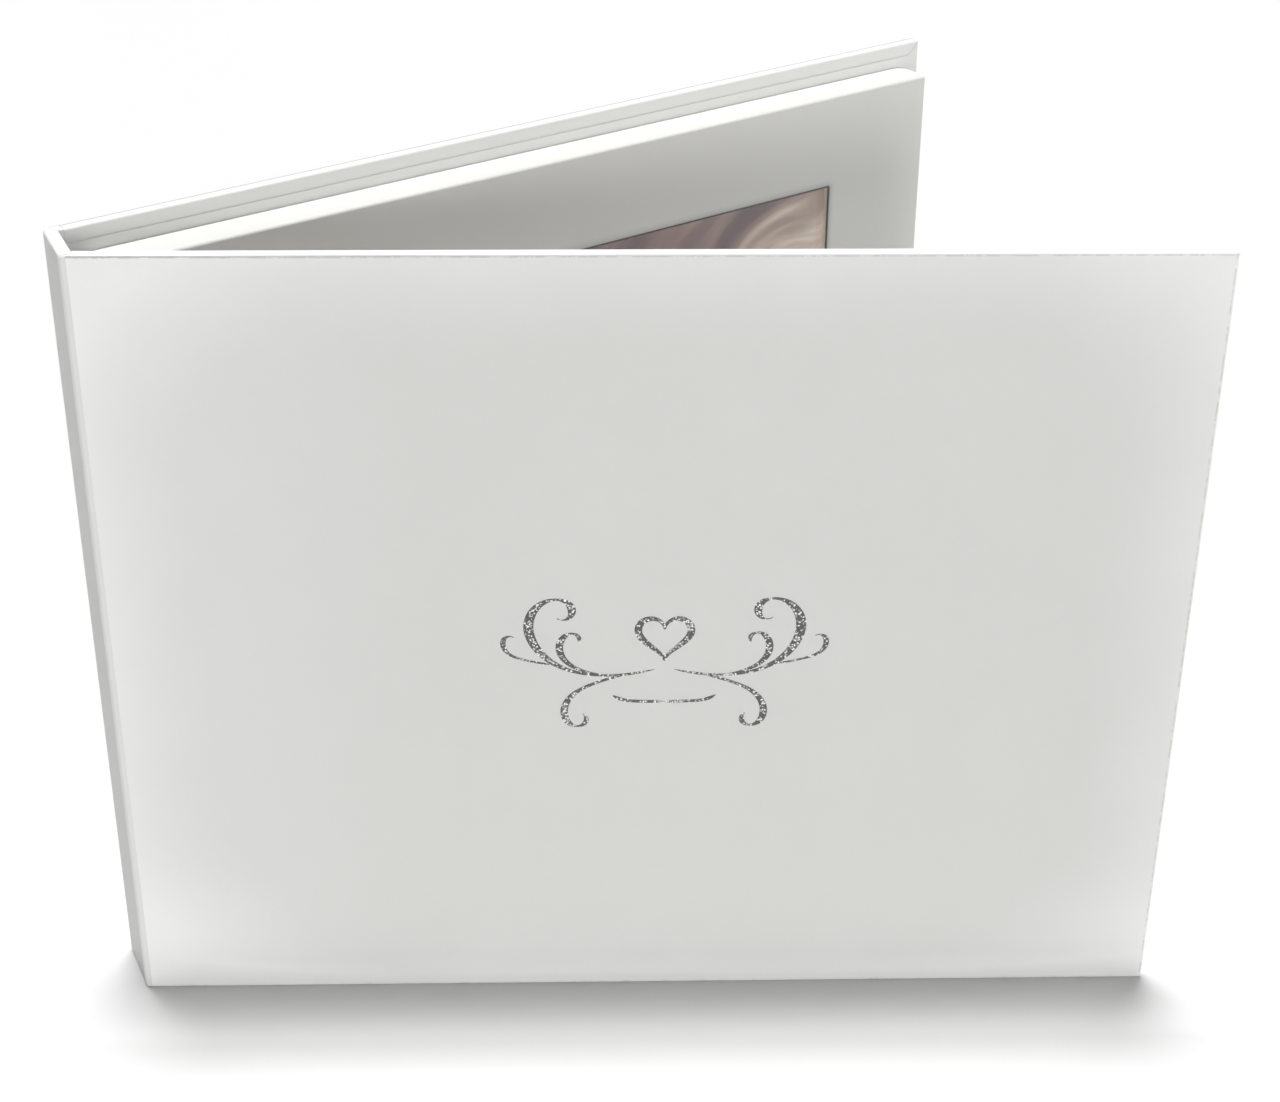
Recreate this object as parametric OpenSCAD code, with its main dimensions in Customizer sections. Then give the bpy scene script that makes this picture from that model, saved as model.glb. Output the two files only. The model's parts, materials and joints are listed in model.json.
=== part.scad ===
// Hardcover book with a seven inch video screen in its back cover.
// A paper wrapped case of three boards (front, spine, back) folds at two corners, and a shallow
// screen block is glued inside the back cover. Millimetres, +Z up, standing open on its lower edges.
// The block is laid out around the panel and its circuit boards, and the covers are cut to the block.
// Each cover leaf is drawn in its own plan: X runs from its fold to its fore-edge, and depth is
// counted from its outer face inwards. The plans are then turned to the angle of the open book.

/* [Cover] */
// Overhang of the covers past the block at the head, the tail and the fore-edge
overhang = 5.2; // [3:0.1:8]
// Thickness of the grey board in all three leaves
board_t = 2.25; // [1.5:0.05:3]
// Thickness of the laminated paper that wraps the boards
wrap_t = 0.2; // [0.12:0.01:0.3]
// Thickness of the paper that lines the inner faces
lining_t = 0.2; // [0.12:0.01:0.3]
// Width of wrapping paper turned in over the boards' edges
turn_in = 15; // [10:1:20]
// Distance from the leaf's edges to the lining's edge
lining_inset = 3; // [2:0.5:5]
// Outer radius of the wrapped edges
edge_r = 0.5; // [0.35:0.05:0.6]

/* [Folds] */
// Angle that the spine is opened from square to the back cover
rear_open = 12; // [0:0.5:60]
// Angle that the front cover is opened from square to the spine
front_open = 22.5; // [0:0.5:60]
// Space between the front cover and the screen block when the book is shut
shut_gap = 0.5; // [0.4:0.05:1]
// Distance of the paper's edge from the fold line
fold_relief = 0.25; // [0.2:0.05:0.4]
// Space between a cover board's end and the spine's inner face when the book is shut
joint_gap = 0.4; // [0.3:0.05:1]
// Width of lining paper glued to the spine beside each fold
hinge_tongue = 4; // [3.6:0.1:5]

/* [Magnet] */
// Radius of the magnet in the front board
magnet_r = 4; // [2:0.25:6]
// Thickness of the magnet
magnet_t = 1.5; // [0.8:0.1:1.8]
// Distance from the fore-edge to the magnet and to the sensor that reads it
magnet_inset = 15; // [12:0.5:18]
// Radial space around the magnet in its pocket
magnet_clear = 0.1; // [0.05:0.05:0.3]

/* [Screen block] */
// Distance from the back cover's fold to the block
block_fold_gap = 6; // [4.5:0.1:9]
// Thickness of the adhesive sheet behind the block
adhesive_t = 0.2; // [0.1:0.05:0.3]
// Distance from the block's edges to the adhesive sheet
adhesive_inset = 6; // [3:0.5:10]
// Thickness of the base card
base_t = 0.5; // [0.3:0.05:0.8]
// Thickness of the face board
face_t = 1; // [0.6:0.05:1.4]
// Thickness of the block's own paper wrap
skin_t = 0.25; // [0.15:0.05:0.3]
// Width of the block's paper wrap turned in behind the base card
skin_turn_in = 5; // [3:0.5:5.5]
// Radius of the block's upright edges at the back cover
block_rear_r = 3; // [1:0.25:4]
// Radius of the block's upright edges at its face
block_front_r = 0.8; // [0.4:0.1:1.2]

/* [Screen] */
// Width of the lit area of the panel
active_w = 154.2; // [140:0.1:172]
// Height of the lit area of the panel
active_h = 85.9; // [78:0.1:96]
// Part of the lit area hidden by the window's edge, all round
window_reveal = 0.8; // [0.4:0.1:1.5]
// Distance from the block's hinge end to the window
window_hinge_side = 23.1; // [20:0.1:36]
// Distance from the window to the block's fore-edge end
window_side = 28.1; // [24:0.1:36]
// Distance from the window to the block's head
window_top = 21.2; // [16:0.1:24]
// Panel border beside the lit area
panel_side = 5.3; // [4:0.1:6]
// Panel border above the lit area
panel_top = 3.5; // [3:0.1:6]
// Panel border below the lit area
panel_bottom = 8; // [6:0.1:9]
// Thickness of the whole display panel
panel_t = 2.8; // [2.5:0.1:3.2]
// Thickness of the two glass plates together
glass_t = 1.15; // [0.8:0.05:1.2]
// Sheet thickness of the metal bezel
bezel_t = 0.25; // [0.2:0.05:0.35]
// Thickness of the clear film behind the window
film_t = 0.2; // [0.1:0.05:0.25]
// Overlap of the film behind the face board
film_lap = 3.5; // [2:0.25:3.75]
// Space around the panel in its pocket
panel_clear = 0.25; // [0.15:0.05:0.5]

/* [Buttons] */
// Distance between neighbouring buttons
button_pitch = 14; // [12:0.5:16]
// Radius of a button
button_r = 4; // [3:0.25:4.5]
// Radial space around a button in the face
button_clear = 0.3; // [0.2:0.05:0.5]
// Height of a button above the face
button_proud = 0.2; // [0.1:0.05:0.3]
// Travel of a button
button_travel = 0.3; // [0.2:0.05:0.35]

/* [Speaker] */
// Outer radius of the speaker
speaker_r = 14; // [11:0.5:14.5]
// Distance from the window's hinge side edge to the speaker's centre
speaker_shift = 5; // [0:0.5:10]
// Radius of each sound hole
sound_hole_r = 0.8; // [0.5:0.1:1]
// Distance between neighbouring sound holes
sound_hole_pitch = 3.2; // [2.8:0.1:3.6]

/* [Electronics] */
// Space between the panel and the main circuit board below it
strip_gap = 5.5; // [4:0.1:8]
// Distance from the block's tail to the main circuit board
strip_tail = 7.8; // [5:0.1:12]
// Width of the main circuit board
main_w = 58; // [56:0.5:60]
// Height of the main circuit board
main_h = 30; // [28:0.5:31]
// Thickness of the circuit boards
circuit_t = 1; // [0.8:0.1:1.2]
// Width of the battery
battery_w = 90; // [70:1:100]
// Height of the battery
battery_h = 60; // [50:1:66]
// Thickness of the battery
battery_t = 3.2; // [2.8:0.1:4]
// Outer diameter of an insulated lead
lead_d = 1.1; // [0.8:0.1:1.3]

/* [Hidden] */
$fn = 64;
cut = 1;

// Fits between papers, and the seats of what lies against a face
paper_fit = 0.05;
bezel_fit = 0.1;
pocket_clear = 0.3;

// Paper and board layers of a leaf, counted from its outer face
wrapped_t = wrap_t + board_t + wrap_t;
cover_t = wrapped_t + lining_t;
mitre_w = 0.15;
head_mitre = 90 + 45;
tail_mitre = -head_mitre;

// Layers of the screen block, counted from the back cover's inner face: the battery lies under the panel
battery_tape_t = 0.2;
stack_clear = 0.3;
frame_t = battery_tape_t + battery_t + stack_clear + panel_t + paper_fit + film_t;
base_top = adhesive_t + base_t;
frame_top = base_top + frame_t;
face_top = frame_top + face_t;
block_t = face_top + skin_t;

// The folds lie on the outer corners of the shut book
spine_w = cover_t + block_t + shut_gap + cover_t;
board_start = cover_t + joint_gap;
lining_setback = 0.75;
lining_start = board_start + lining_setback;
spine_board_inset = fold_relief + paper_fit;
total_open = rear_open + front_open;
front_fold = [-spine_w * sin(rear_open), -spine_w * cos(rear_open)];

// Window, panel and main circuit board, laid out from the back cover's fold and from the tail
window_w = active_w - 2 * window_reveal;
window_h = active_h - 2 * window_reveal;
block_x0 = block_fold_gap;
window_x0 = block_x0 + window_hinge_side;
window_x1 = window_x0 + window_w;
block_x1 = window_x1 + window_side;
cover_w = block_x1 + overhang;
block_z0 = overhang;
main_z0 = block_z0 + strip_tail;
main_z1 = main_z0 + main_h;
panel_z0 = main_z1 + strip_gap;
window_z0 = panel_z0 + panel_bottom + window_reveal;
window_z1 = window_z0 + window_h;
block_z1 = window_z1 + window_top;
cover_h = block_z1 + overhang;
window_x = (window_x0 + window_x1) / 2;
control_z = (main_z0 + main_z1) / 2;

// Middle of the standing book's plan, which is the origin
plan_left = -(spine_w - fold_relief) * sin(rear_open);
plan_near = front_fold.y - (cover_w - edge_r) * sin(total_open) + edge_r * cos(total_open) - edge_r;
origin_x = (cover_w + plan_left) / 2;
origin_y = plan_near / 2;

// Display panel
panel_x0 = window_x0 - window_reveal - panel_side;
panel_x1 = window_x1 + window_reveal + panel_side;
panel_z1 = window_z1 + window_reveal + panel_top;
panel_top_d = frame_top - film_t - paper_fit;
panel_back_d = panel_top_d - panel_t;
rim_w = 2.6;
rim_lip = 1;
glass_fit = 0.02;
glass_ledge = 2;
panel_ribbon_w = 22;
panel_ribbon_t = 0.15;
ribbon_d = panel_top_d - bezel_t - glass_t - panel_ribbon_t - bezel_fit;
ribbon_tail = 2;
ribbon_step = 1;
ribbon_grip = 2.5;
ribbon_rise = 0.6;

// Circuit boards hang at the same depth behind the face board
circuit_head = 3.95;
circuit_top = frame_top - circuit_head;
circuit_floor = circuit_top - circuit_t;
main_edge = 1.5;
main_x1 = block_x1 - main_edge;
main_x0 = main_x1 - main_w;

// Five buttons in a row centred below the window
button_count = 5;
button_xs = [for (i = [0:button_count - 1]) window_x + (i - (button_count - 1) / 2) * button_pitch];
button_board_end = 6;
button_board_h = 17;
button_board_x0 = button_xs[0] - button_board_end;
button_board_x1 = button_xs[button_count - 1] + button_board_end;
button_ribbon_w = 7;
button_ribbon_t = 0.2;
button_ribbon_lap = 2.5;
flange_w = 1.2;
flange_t = 0.8;
flange_top = frame_top - paper_fit;
dish_r = 24;
dish_d = 0.25;
hub_wall = 0.4;
switch_w = 6.2;
switch_h = 1.8;
switch_well = 0.6;
switch_leg_w = 0.7;
plunger_r = 1.75;
plunger_fit = 0.1;
plunger_rise = 2.6;
plunger_top = circuit_top + plunger_rise;
hub_bottom = plunger_top + button_travel + paper_fit;

// Speaker
speaker_x = window_x0 + speaker_shift;
speaker_clear = 0.3;
speaker_seat = 0.1;
speaker_magnet_r = 5.6;
speaker_magnet_t = 1.6;
speaker_rim_t = 1;
speaker_wall = 0.6;
speaker_floor = circuit_floor + speaker_seat;
speaker_back = speaker_floor + speaker_magnet_t;
speaker_top = frame_top - paper_fit;
speaker_deep = speaker_top - speaker_back;
terminal_w = 8;
terminal_h = 1.6;
terminal_in = 2;
terminal_rise = 1;
terminal_z = control_z - speaker_r + terminal_in;

// Channels of the leads
channel_w = 3.4;
channel_floor = 0.6;
speaker_channel_rise = 0.3;
ribbon_channel_h = 8;
ribbon_channel_dip = 0.1;

// Sockets on the main board
socket_h = 3.5;
socket_set_in = 1.6;
battery_socket_w = 6;
battery_socket_h = 5;
battery_lead_in = 3.7;
battery_lead_x = main_x0 + battery_lead_in;
battery_socket_z1 = main_z1 - socket_set_in;
speaker_socket_w = 4.5;
speaker_socket_h = 5;
speaker_socket_in = 1.7;
speaker_socket_rise = 3;
speaker_socket_x0 = main_x0 + speaker_socket_in;
channel_z = main_z0 + speaker_socket_rise;
ribbon_socket_w = panel_ribbon_w + 2;
ribbon_socket_h = 3.5;
ribbon_socket_t = 1.4;
ribbon_socket_lip = 0.8;
ribbon_socket_in = 21;
ribbon_socket_drop = 2.9;
ribbon_socket_x = main_x0 + ribbon_socket_in;
ribbon_socket_z1 = main_z1 - ribbon_socket_drop;
usb_w = 7.6;
usb_h = 2.6;
usb_len = 5.7;
usb_wall = 0.3;
usb_taper = 0.8;
usb_shoulder = 0.45;
usb_tongue_w = 4;
usb_tongue_t = 0.7;
usb_tongue_gap = 0.6;
usb_tongue_back = 1;
usb_set_in = 0.5;
usb_x1 = block_x1 - usb_set_in;
usb_z = control_z;
usb_clear = 0.4;

// Chips and small parts on the main board, placed from the board's hinge end and from the row's middle
processor_w = 11;
processor_t = 1.2;
processor_at = [21, -3];
memory_w = 12;
memory_h = 8;
memory_t = 1.1;
memory_at = [38, -6];
chip_part = [2, 1.25, 0.8];
chip_row_at = [15, -12];
chip_column_at = [31, 3];
chip_step = 4;
crystal = [5, 3.2, 1];
crystal_at = [38, 3];
sensor = [3, 1.6, 1.1];
sensor_x = cover_w - magnet_inset;
sensor_drop = 6.5;
sensor_z = main_z1 - sensor_drop;

// Gull-wing legs of the chips and switches
leg_reach = 1.1;
leg_foot = 0.5;
leg_t = 0.15;
leg_rise = 0.55;
leg_w = 0.3;
leg_pitch = 1;

// Battery, with its hinge side free and its other end over its leads
battery_fold = 4;
battery_edge_r = 1;
battery_fold_share = 0.75;
battery_past_leads = 6;
battery_x1 = battery_lead_x + battery_past_leads;
battery_x0 = battery_x1 - battery_w;
battery_z0 = (panel_z0 + panel_z1 - battery_h) / 2;
battery_z1 = battery_z0 + battery_h;
battery_floor = base_top + battery_tape_t;
battery_tape_inset = 9;

// Leads: their routes are lists of [x, depth, height] on the block
lead_sides = 8;
lead_straight = 1.2;
battery_lead_clear = 0.8;
speaker_lead_clear = 0.17;
battery_lead_rise = 1.4;
socket_lead_rise = 1.8;
channel_lead_rise = 1.5;
lead_step = 0.1;
battery_lead_d = battery_floor + battery_lead_rise;
socket_lead_d = circuit_top + socket_lead_rise;
channel_lead_d = circuit_top + channel_lead_rise;
lead_bend = 6;
battery_route = [
    [battery_lead_x, battery_lead_d, battery_z0],
    [battery_lead_x, battery_lead_d, panel_z0 + lead_bend],
    [battery_lead_x, battery_lead_d + lead_step, panel_z0 + lead_bend / 2],
    [battery_lead_x, battery_lead_d + 4 * lead_step, panel_z0],
    [battery_lead_x, socket_lead_d - lead_bend * lead_step, main_z1 + strip_gap / 5],
    [battery_lead_x, socket_lead_d, battery_socket_z1 + lead_straight],
    [battery_lead_x, socket_lead_d, battery_socket_z1]];
speaker_route = [
    [speaker_x + terminal_w / 2, socket_lead_d, terminal_z],
    [speaker_x + terminal_w / 2 + lead_straight, socket_lead_d, terminal_z],
    [speaker_x + terminal_w / 2 + lead_bend, channel_lead_d, channel_z],
    [speaker_socket_x0 - lead_bend, channel_lead_d, channel_z],
    [speaker_socket_x0 - lead_straight, channel_lead_d + lead_step, channel_z],
    [speaker_socket_x0, channel_lead_d + lead_step, channel_z]];

// Places a leaf's plan where the open book has it
module at_back() { translate([-origin_x, -origin_y, 0]) children(); }
module at_spine() { at_back() rotate([0, 0, -90 - rear_open]) mirror([0, 1, 0]) children(); }
module at_front() {
    at_back() translate(front_fold) rotate([0, 0, -total_open]) mirror([0, 1, 0]) children();
}

// A block between two X, two depths below the outer face and two heights
module slab(x0, x1, d0, d1, z0, z1) {
    translate([x0, -d1, z0]) cube([x1 - x0, d1 - d0, z1 - z0]);
}

// A round post that points inwards from depth d0 to d1
module post(x, z, d0, d1, r) {
    translate([x, -d0, z]) rotate([90, 0, 0]) cylinder(h = d1 - d0, r = r);
}

// The same two on the screen block, with depth counted from the back cover's inner face
module block_slab(x0, x1, d0, d1, z0, z1) { slab(x0, x1, cover_t + d0, cover_t + d1, z0, z1); }
module block_post(x, z, d0, d1, r) { post(x, z, cover_t + d0, cover_t + d1, r); }

// A block_slab given by its middle, half width and half height
module block_pad(x, z, w, h, d0, d1) {
    block_slab(x - w / 2, x + w / 2, d0, d1, z - h / 2, z + h / 2);
}

// Rectangle with its own radius at each corner, zero for a sharp one
module rounded_profile(w, h, r00, r10, r11, r01) {
    difference() {
        square([w, h]);
        corner_waste(0, 0, 1, 1, r00);
        corner_waste(w, 0, -1, 1, r10);
        corner_waste(w, h, -1, -1, r11);
        corner_waste(0, h, 1, -1, r01);
    }
}

// What a rounded corner takes away from a square one
module corner_waste(x, y, sx, sy, r) {
    if (r > 0) translate([x, y]) flipped(sx, sy) difference() {
        translate([-cut, -cut]) square([r + cut, r + cut]);
        translate([r, r]) circle(r = r);
    }
}

module flipped(sx, sy) {
    mirror([sx < 0 ? 1 : 0, 0]) mirror([0, sy < 0 ? 1 : 0]) children();
}

// Outer form of a wrapped leaf, with rounded head and tail and a rounded or square end
module leaf_form(x0, x1, end_r) {
    intersection() {
        translate([x0, -wrapped_t, 0]) linear_extrude(cover_h)
            rounded_profile(x1 - x0, wrapped_t, 0, end_r, end_r, 0);
        translate([x0, 0, 0]) rotate([90, 0, 90]) mirror([1, 0]) linear_extrude(x1 - x0)
            rounded_profile(wrapped_t, cover_h, edge_r, edge_r, edge_r, edge_r);
    }
}

// Grey board inside a leaf's wrap
module leaf_board(x0, x1) {
    slab(x0, x1, wrap_t, wrap_t + board_t, wrap_t, cover_h - wrap_t);
}

// Paper over a board: the outer face, the turned edges and the turned-in margins
module leaf_wrap(x0, x1, board_x0, board_x1, end_r) {
    fore_edge = end_r > 0;
    bare_x1 = fore_edge ? x1 - turn_in : x1 + cut;
    difference() {
        leaf_form(x0, x1, end_r);
        leaf_board(board_x0, board_x1);
        slab(board_x0 - cut, bare_x1, wrap_t + board_t - cut / 2, wrapped_t + cut,
             turn_in, cover_h - turn_in);
        slab(x0 - cut, board_x0, wrap_t, wrapped_t + cut, -cut, cover_h + cut);
        if (!fore_edge) slab(board_x1, x1 + cut, wrap_t, wrapped_t + cut, -cut, cover_h + cut);
        if (fore_edge) mitre(board_x1, wrap_t, tail_mitre);
        if (fore_edge) mitre(board_x1, cover_h - wrap_t, head_mitre);
    }
}

// Seam where the margins turned in at a corner meet
module mitre(x, z, turn) {
    translate([x, -wrapped_t - cut, z]) rotate([0, turn, 0])
        translate([0, 0, -mitre_w / 2]) cube([turn_in * sqrt(2), wrap_t + cut, mitre_w]);
}

// Paper over the inner face, which also fills the space between the turned-in margins
module leaf_lining(fill_x0, fill_x1, sheet_x0, sheet_x1) {
    slab(fill_x0, fill_x1, wrap_t + board_t, wrapped_t, turn_in, cover_h - turn_in);
    slab(sheet_x0, sheet_x1, wrapped_t, cover_t, lining_inset, cover_h - lining_inset);
}

// Lining paper that crosses the inner corner of a fold, in the plan of the cover beside it
module hinge_lining(angle) {
    along = [cos(angle), -sin(angle)];
    across = [sin(angle), cos(angle)];
    spine_end = hinge_tongue - paper_fit;
    translate([0, 0, lining_inset]) linear_extrude(cover_h - 2 * lining_inset) polygon([
        spine_end * along + cover_t * across, spine_end * along + wrapped_t * across,
        [wrapped_t / tan(angle / 2), -wrapped_t], [lining_start, -wrapped_t],
        [lining_start, -cover_t], [cover_t / tan(angle / 2), -cover_t]]);
}

// Back leaf
module back_board() {
    color([0.62, 0.6, 0.56]) at_back() leaf_board(board_start, cover_w - wrap_t);
}
module back_wrap() {
    color([0.94, 0.94, 0.93]) at_back()
        leaf_wrap(fold_relief, cover_w, board_start, cover_w - wrap_t, edge_r);
}
module back_lining() {
    color([0.97, 0.97, 0.96]) at_back()
        leaf_lining(board_start, cover_w - turn_in, lining_start, cover_w - lining_inset);
}

// Spine leaf
module spine_board() {
    color([0.62, 0.6, 0.56]) at_spine() leaf_board(spine_board_inset, spine_w - spine_board_inset);
}
module spine_wrap() {
    color([0.92, 0.92, 0.91]) at_spine()
        leaf_wrap(fold_relief, spine_w - fold_relief, spine_board_inset, spine_w - spine_board_inset, 0);
}
module spine_lining() {
    color([0.97, 0.97, 0.96]) at_spine()
        leaf_lining(spine_board_inset, spine_w - spine_board_inset, hinge_tongue, spine_w - hinge_tongue);
}

// Front leaf, with a magnet let into its board under the lining
module front_board() {
    color([0.62, 0.6, 0.56]) at_front() difference() {
        leaf_board(board_start, cover_w - wrap_t);
        post(sensor_x, sensor_z, wrap_t + board_t - magnet_t, wrap_t + board_t + cut,
             magnet_r + magnet_clear);
    }
}
module front_wrap() {
    color([0.84, 0.84, 0.83]) at_front()
        leaf_wrap(fold_relief, cover_w, board_start, cover_w - wrap_t, edge_r);
}
module front_lining() {
    color([0.97, 0.97, 0.96]) at_front()
        leaf_lining(board_start, cover_w - turn_in, lining_start, cover_w - lining_inset);
}
module cover_magnet() {
    color([0.75, 0.75, 0.77]) at_front()
        post(sensor_x, sensor_z, wrap_t + board_t - magnet_t, wrap_t + board_t, magnet_r);
}

// Paper hinges on the inner corners
module rear_hinge_lining() {
    color([0.96, 0.96, 0.95]) at_back() hinge_lining(90 + rear_open);
}
module front_hinge_lining() {
    color([0.96, 0.96, 0.95]) at_front() hinge_lining(90 + front_open);
}

// Screen block between two depths, drawn in by a margin
module block_form(margin, d0, d1) {
    rear_r = max(block_rear_r - margin, 0.1);
    front_r = max(block_front_r - margin, 0.1);
    intersection() {
        translate([block_x0 + margin, -cover_t - block_t + margin, block_z0 + margin])
            linear_extrude(block_z1 - block_z0 - 2 * margin)
                rounded_profile(block_x1 - block_x0 - 2 * margin, block_t - margin,
                                front_r, front_r, rear_r, rear_r);
        block_slab(block_x0 - cut, block_x1 + cut, d0, d1, block_z0 - cut, block_z1 + cut);
    }
}

// Holes that the face board and its paper share
module face_openings(d0, d1) {
    block_slab(window_x0, window_x1, d0, d1, window_z0, window_z1);
    for (x = button_xs) block_post(x, control_z, d0, d1, button_r + button_clear);
    sound_holes(d0, d1);
}

// Sound holes in rings of six and twelve round the middle one
module sound_holes(d0, d1) {
    block_post(speaker_x, control_z, d0, d1, sound_hole_r);
    for (ring = [1:2], i = [0:6 * ring - 1])
        block_post(speaker_x + ring * sound_hole_pitch * cos(i * 60 / ring),
                   control_z + ring * sound_hole_pitch * sin(i * 60 / ring), d0, d1, sound_hole_r);
}

module usb_opening(x0, x1) {
    block_slab(x0, x1, circuit_top - usb_clear, circuit_top + usb_h + usb_clear,
               usb_z - usb_w / 2 - usb_clear, usb_z + usb_w / 2 + usb_clear);
}

module block_adhesive() {
    color([0.9, 0.88, 0.7]) at_back()
        block_slab(block_x0 + adhesive_inset, block_x1 - adhesive_inset, 0, adhesive_t,
                   block_z0 + adhesive_inset, block_z1 - adhesive_inset);
}
module base_card() {
    color([0.8, 0.79, 0.75]) at_back() block_form(skin_t, adhesive_t, base_top);
}

// Paper round the block, turned in behind the base card
module block_wrap() {
    color([0.93, 0.93, 0.92]) at_back() difference() {
        block_form(0, 0, block_t);
        block_form(skin_t, adhesive_t, face_top);
        block_slab(block_x0 + skin_turn_in, block_x1 - skin_turn_in, -cut, adhesive_t + cut,
                   block_z0 + skin_turn_in, block_z1 - skin_turn_in);
        face_openings(face_top - cut, block_t + cut);
        usb_opening(block_x1 - cut, block_x1 + cut);
    }
}
module face_board() {
    color([0.66, 0.64, 0.6]) at_back() difference() {
        block_form(skin_t, frame_top, face_top);
        face_openings(frame_top - cut, face_top + cut);
    }
}

// Frame with a pocket for each part, all open towards the face
module block_frame() {
    color([0.86, 0.86, 0.84]) at_back() difference() {
        block_form(skin_t, base_top, frame_top);
        panel_pocket();
        battery_pocket();
        control_pockets();
        battery_channel();
        ribbon_channels();
        speaker_channel();
        usb_opening(main_x1 - cut, block_x1 + cut);
    }
}
module panel_pocket() {
    block_slab(panel_x0 - panel_clear, panel_x1 + panel_clear, panel_back_d, frame_top + cut,
               panel_z0 - panel_clear, panel_z1 + panel_clear);
}
module battery_pocket() {
    block_slab(battery_x0 - pocket_clear, battery_x1 + pocket_clear, base_top - cut, panel_back_d + cut,
               battery_z0 - pocket_clear, battery_z1 + pocket_clear);
}
module control_pockets() {
    block_slab(main_x0 - pocket_clear, main_x1 + pocket_clear, circuit_floor, frame_top + cut,
               main_z0 - pocket_clear, main_z1 + pocket_clear);
    block_slab(button_board_x0 - pocket_clear, button_board_x1 + pocket_clear, circuit_floor,
               frame_top + cut, control_z - button_board_h / 2 - pocket_clear,
               control_z + button_board_h / 2 + pocket_clear);
    block_post(speaker_x, control_z, circuit_floor, frame_top + cut, speaker_r + speaker_clear);
}
module battery_channel() {
    for (reach = [[battery_z0, panel_back_d], [panel_z0, frame_top]])
        block_slab(battery_lead_x - channel_w, battery_lead_x + channel_w, base_top + channel_floor,
                   reach[1] + cut, main_z1, reach[0]);
}
module ribbon_channels() {
    block_slab(ribbon_socket_x - ribbon_socket_w / 2, ribbon_socket_x + ribbon_socket_w / 2,
               circuit_top, frame_top + cut, main_z1, panel_z0);
    block_slab(button_board_x1, main_x0, circuit_top - ribbon_channel_dip, frame_top + cut,
               control_z - ribbon_channel_h / 2, control_z + ribbon_channel_h / 2);
}
module speaker_channel() {
    block_slab(speaker_x, main_x0, circuit_top + speaker_channel_rise, frame_top + cut,
               min(channel_z, terminal_z) - channel_w / 2, max(channel_z, terminal_z) + channel_w / 2);
}
module window_film() {
    color([0.8, 0.85, 0.9, 0.3]) at_back()
        block_slab(window_x0 - film_lap, window_x1 + film_lap, frame_top - film_t, frame_top,
                   window_z0 - film_lap, window_z1 + film_lap);
}

// Display panel: bezel, glass plates, backlight and ribbon
module panel_bezel() {
    color([0.72, 0.73, 0.75]) at_back() difference() {
        block_slab(panel_x0, panel_x1, panel_back_d, panel_top_d, panel_z0, panel_z1);
        block_slab(panel_x0 + bezel_t, panel_x1 - bezel_t, panel_back_d - cut, panel_top_d - bezel_t,
                   panel_z0 + bezel_t, panel_z1 - bezel_t);
        block_slab(panel_x0 + rim_w, panel_x1 - rim_w, panel_back_d, panel_top_d + cut,
                   panel_z0 + panel_bottom - rim_lip, panel_z1 - rim_w);
        ribbon_slot(ribbon_d, panel_z0 - cut, panel_z0 + cut);
    }
}
module panel_glass() {
    inset = bezel_t + bezel_fit;
    color([0.1, 0.1, 0.12]) at_back()
        block_slab(panel_x0 + inset, panel_x1 - inset, panel_top_d - bezel_t - glass_t,
                   panel_top_d - bezel_t - glass_fit, panel_z0 + inset + glass_ledge, panel_z1 - inset);
}
module panel_backlight() {
    inset = bezel_t + bezel_fit;
    color([0.95, 0.95, 0.97]) at_back()
        block_slab(panel_x0 + inset, panel_x1 - inset, panel_back_d, ribbon_d,
                   panel_z0 + inset, panel_z1 - inset);
}

// Ribbon of one thickness, stepped down from the panel to the socket's mouth
module panel_ribbon() {
    high = cover_t + ribbon_d;
    low = cover_t + circuit_top + ribbon_rise;
    t = panel_ribbon_t;
    bend_z = ribbon_socket_z1 + ribbon_grip;
    color([0.8, 0.5, 0.15]) at_back() translate([ribbon_socket_x - panel_ribbon_w / 2, 0, 0])
        rotate([90, 0, 90]) linear_extrude(panel_ribbon_w) polygon([
            [-high, panel_z0 + ribbon_tail], [-high, panel_z0 - ribbon_step], [-low, bend_z],
            [-low, ribbon_socket_z1], [-low - t, ribbon_socket_z1], [-low - t, bend_z + t],
            [-high - t, panel_z0 - ribbon_step + t], [-high - t, panel_z0 + ribbon_tail]]);
}

// Slot that the panel's ribbon passes through
module ribbon_slot(d, z0, z1) {
    block_slab(ribbon_socket_x - panel_ribbon_w / 2 - bezel_fit,
               ribbon_socket_x + panel_ribbon_w / 2 + bezel_fit,
               d - bezel_fit, d + panel_ribbon_t + bezel_fit, z0, z1);
}

// Main circuit board and what stands on it
module main_circuit_board() {
    color([0.08, 0.32, 0.18]) at_back()
        block_slab(main_x0, main_x1, circuit_floor, circuit_top, main_z0, main_z1);
}

// Moves to a place on the main board: from its hinge end and from the middle of the controls
module on_main(place) {
    translate([main_x0 + place.x, -cover_t - circuit_top, control_z + place.y]) children();
}

// Part with its foot on the board, seen as [width, height on the board, thickness]
module seated_box(size, lift = 0) {
    translate([-size.x / 2, -size.z, -size.y / 2]) cube([size.x, size.z - lift, size.y]);
}

// Row of bent legs along one side of a part, pointing to +X
module leg_row(count, w = leg_w) {
    for (i = [0:count - 1]) translate([0, 0, (i - (count - 1) / 2) * leg_pitch - w / 2])
        linear_extrude(w) polygon([
            [-leg_t, -leg_rise], [leg_reach - leg_foot, -leg_rise], [leg_reach - leg_foot + leg_t, -leg_t],
            [leg_reach, -leg_t], [leg_reach, 0], [leg_reach - leg_foot, 0],
            [leg_reach - leg_foot - leg_t, -leg_rise + leg_t], [-leg_t, -leg_rise + leg_t]]);
}

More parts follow.
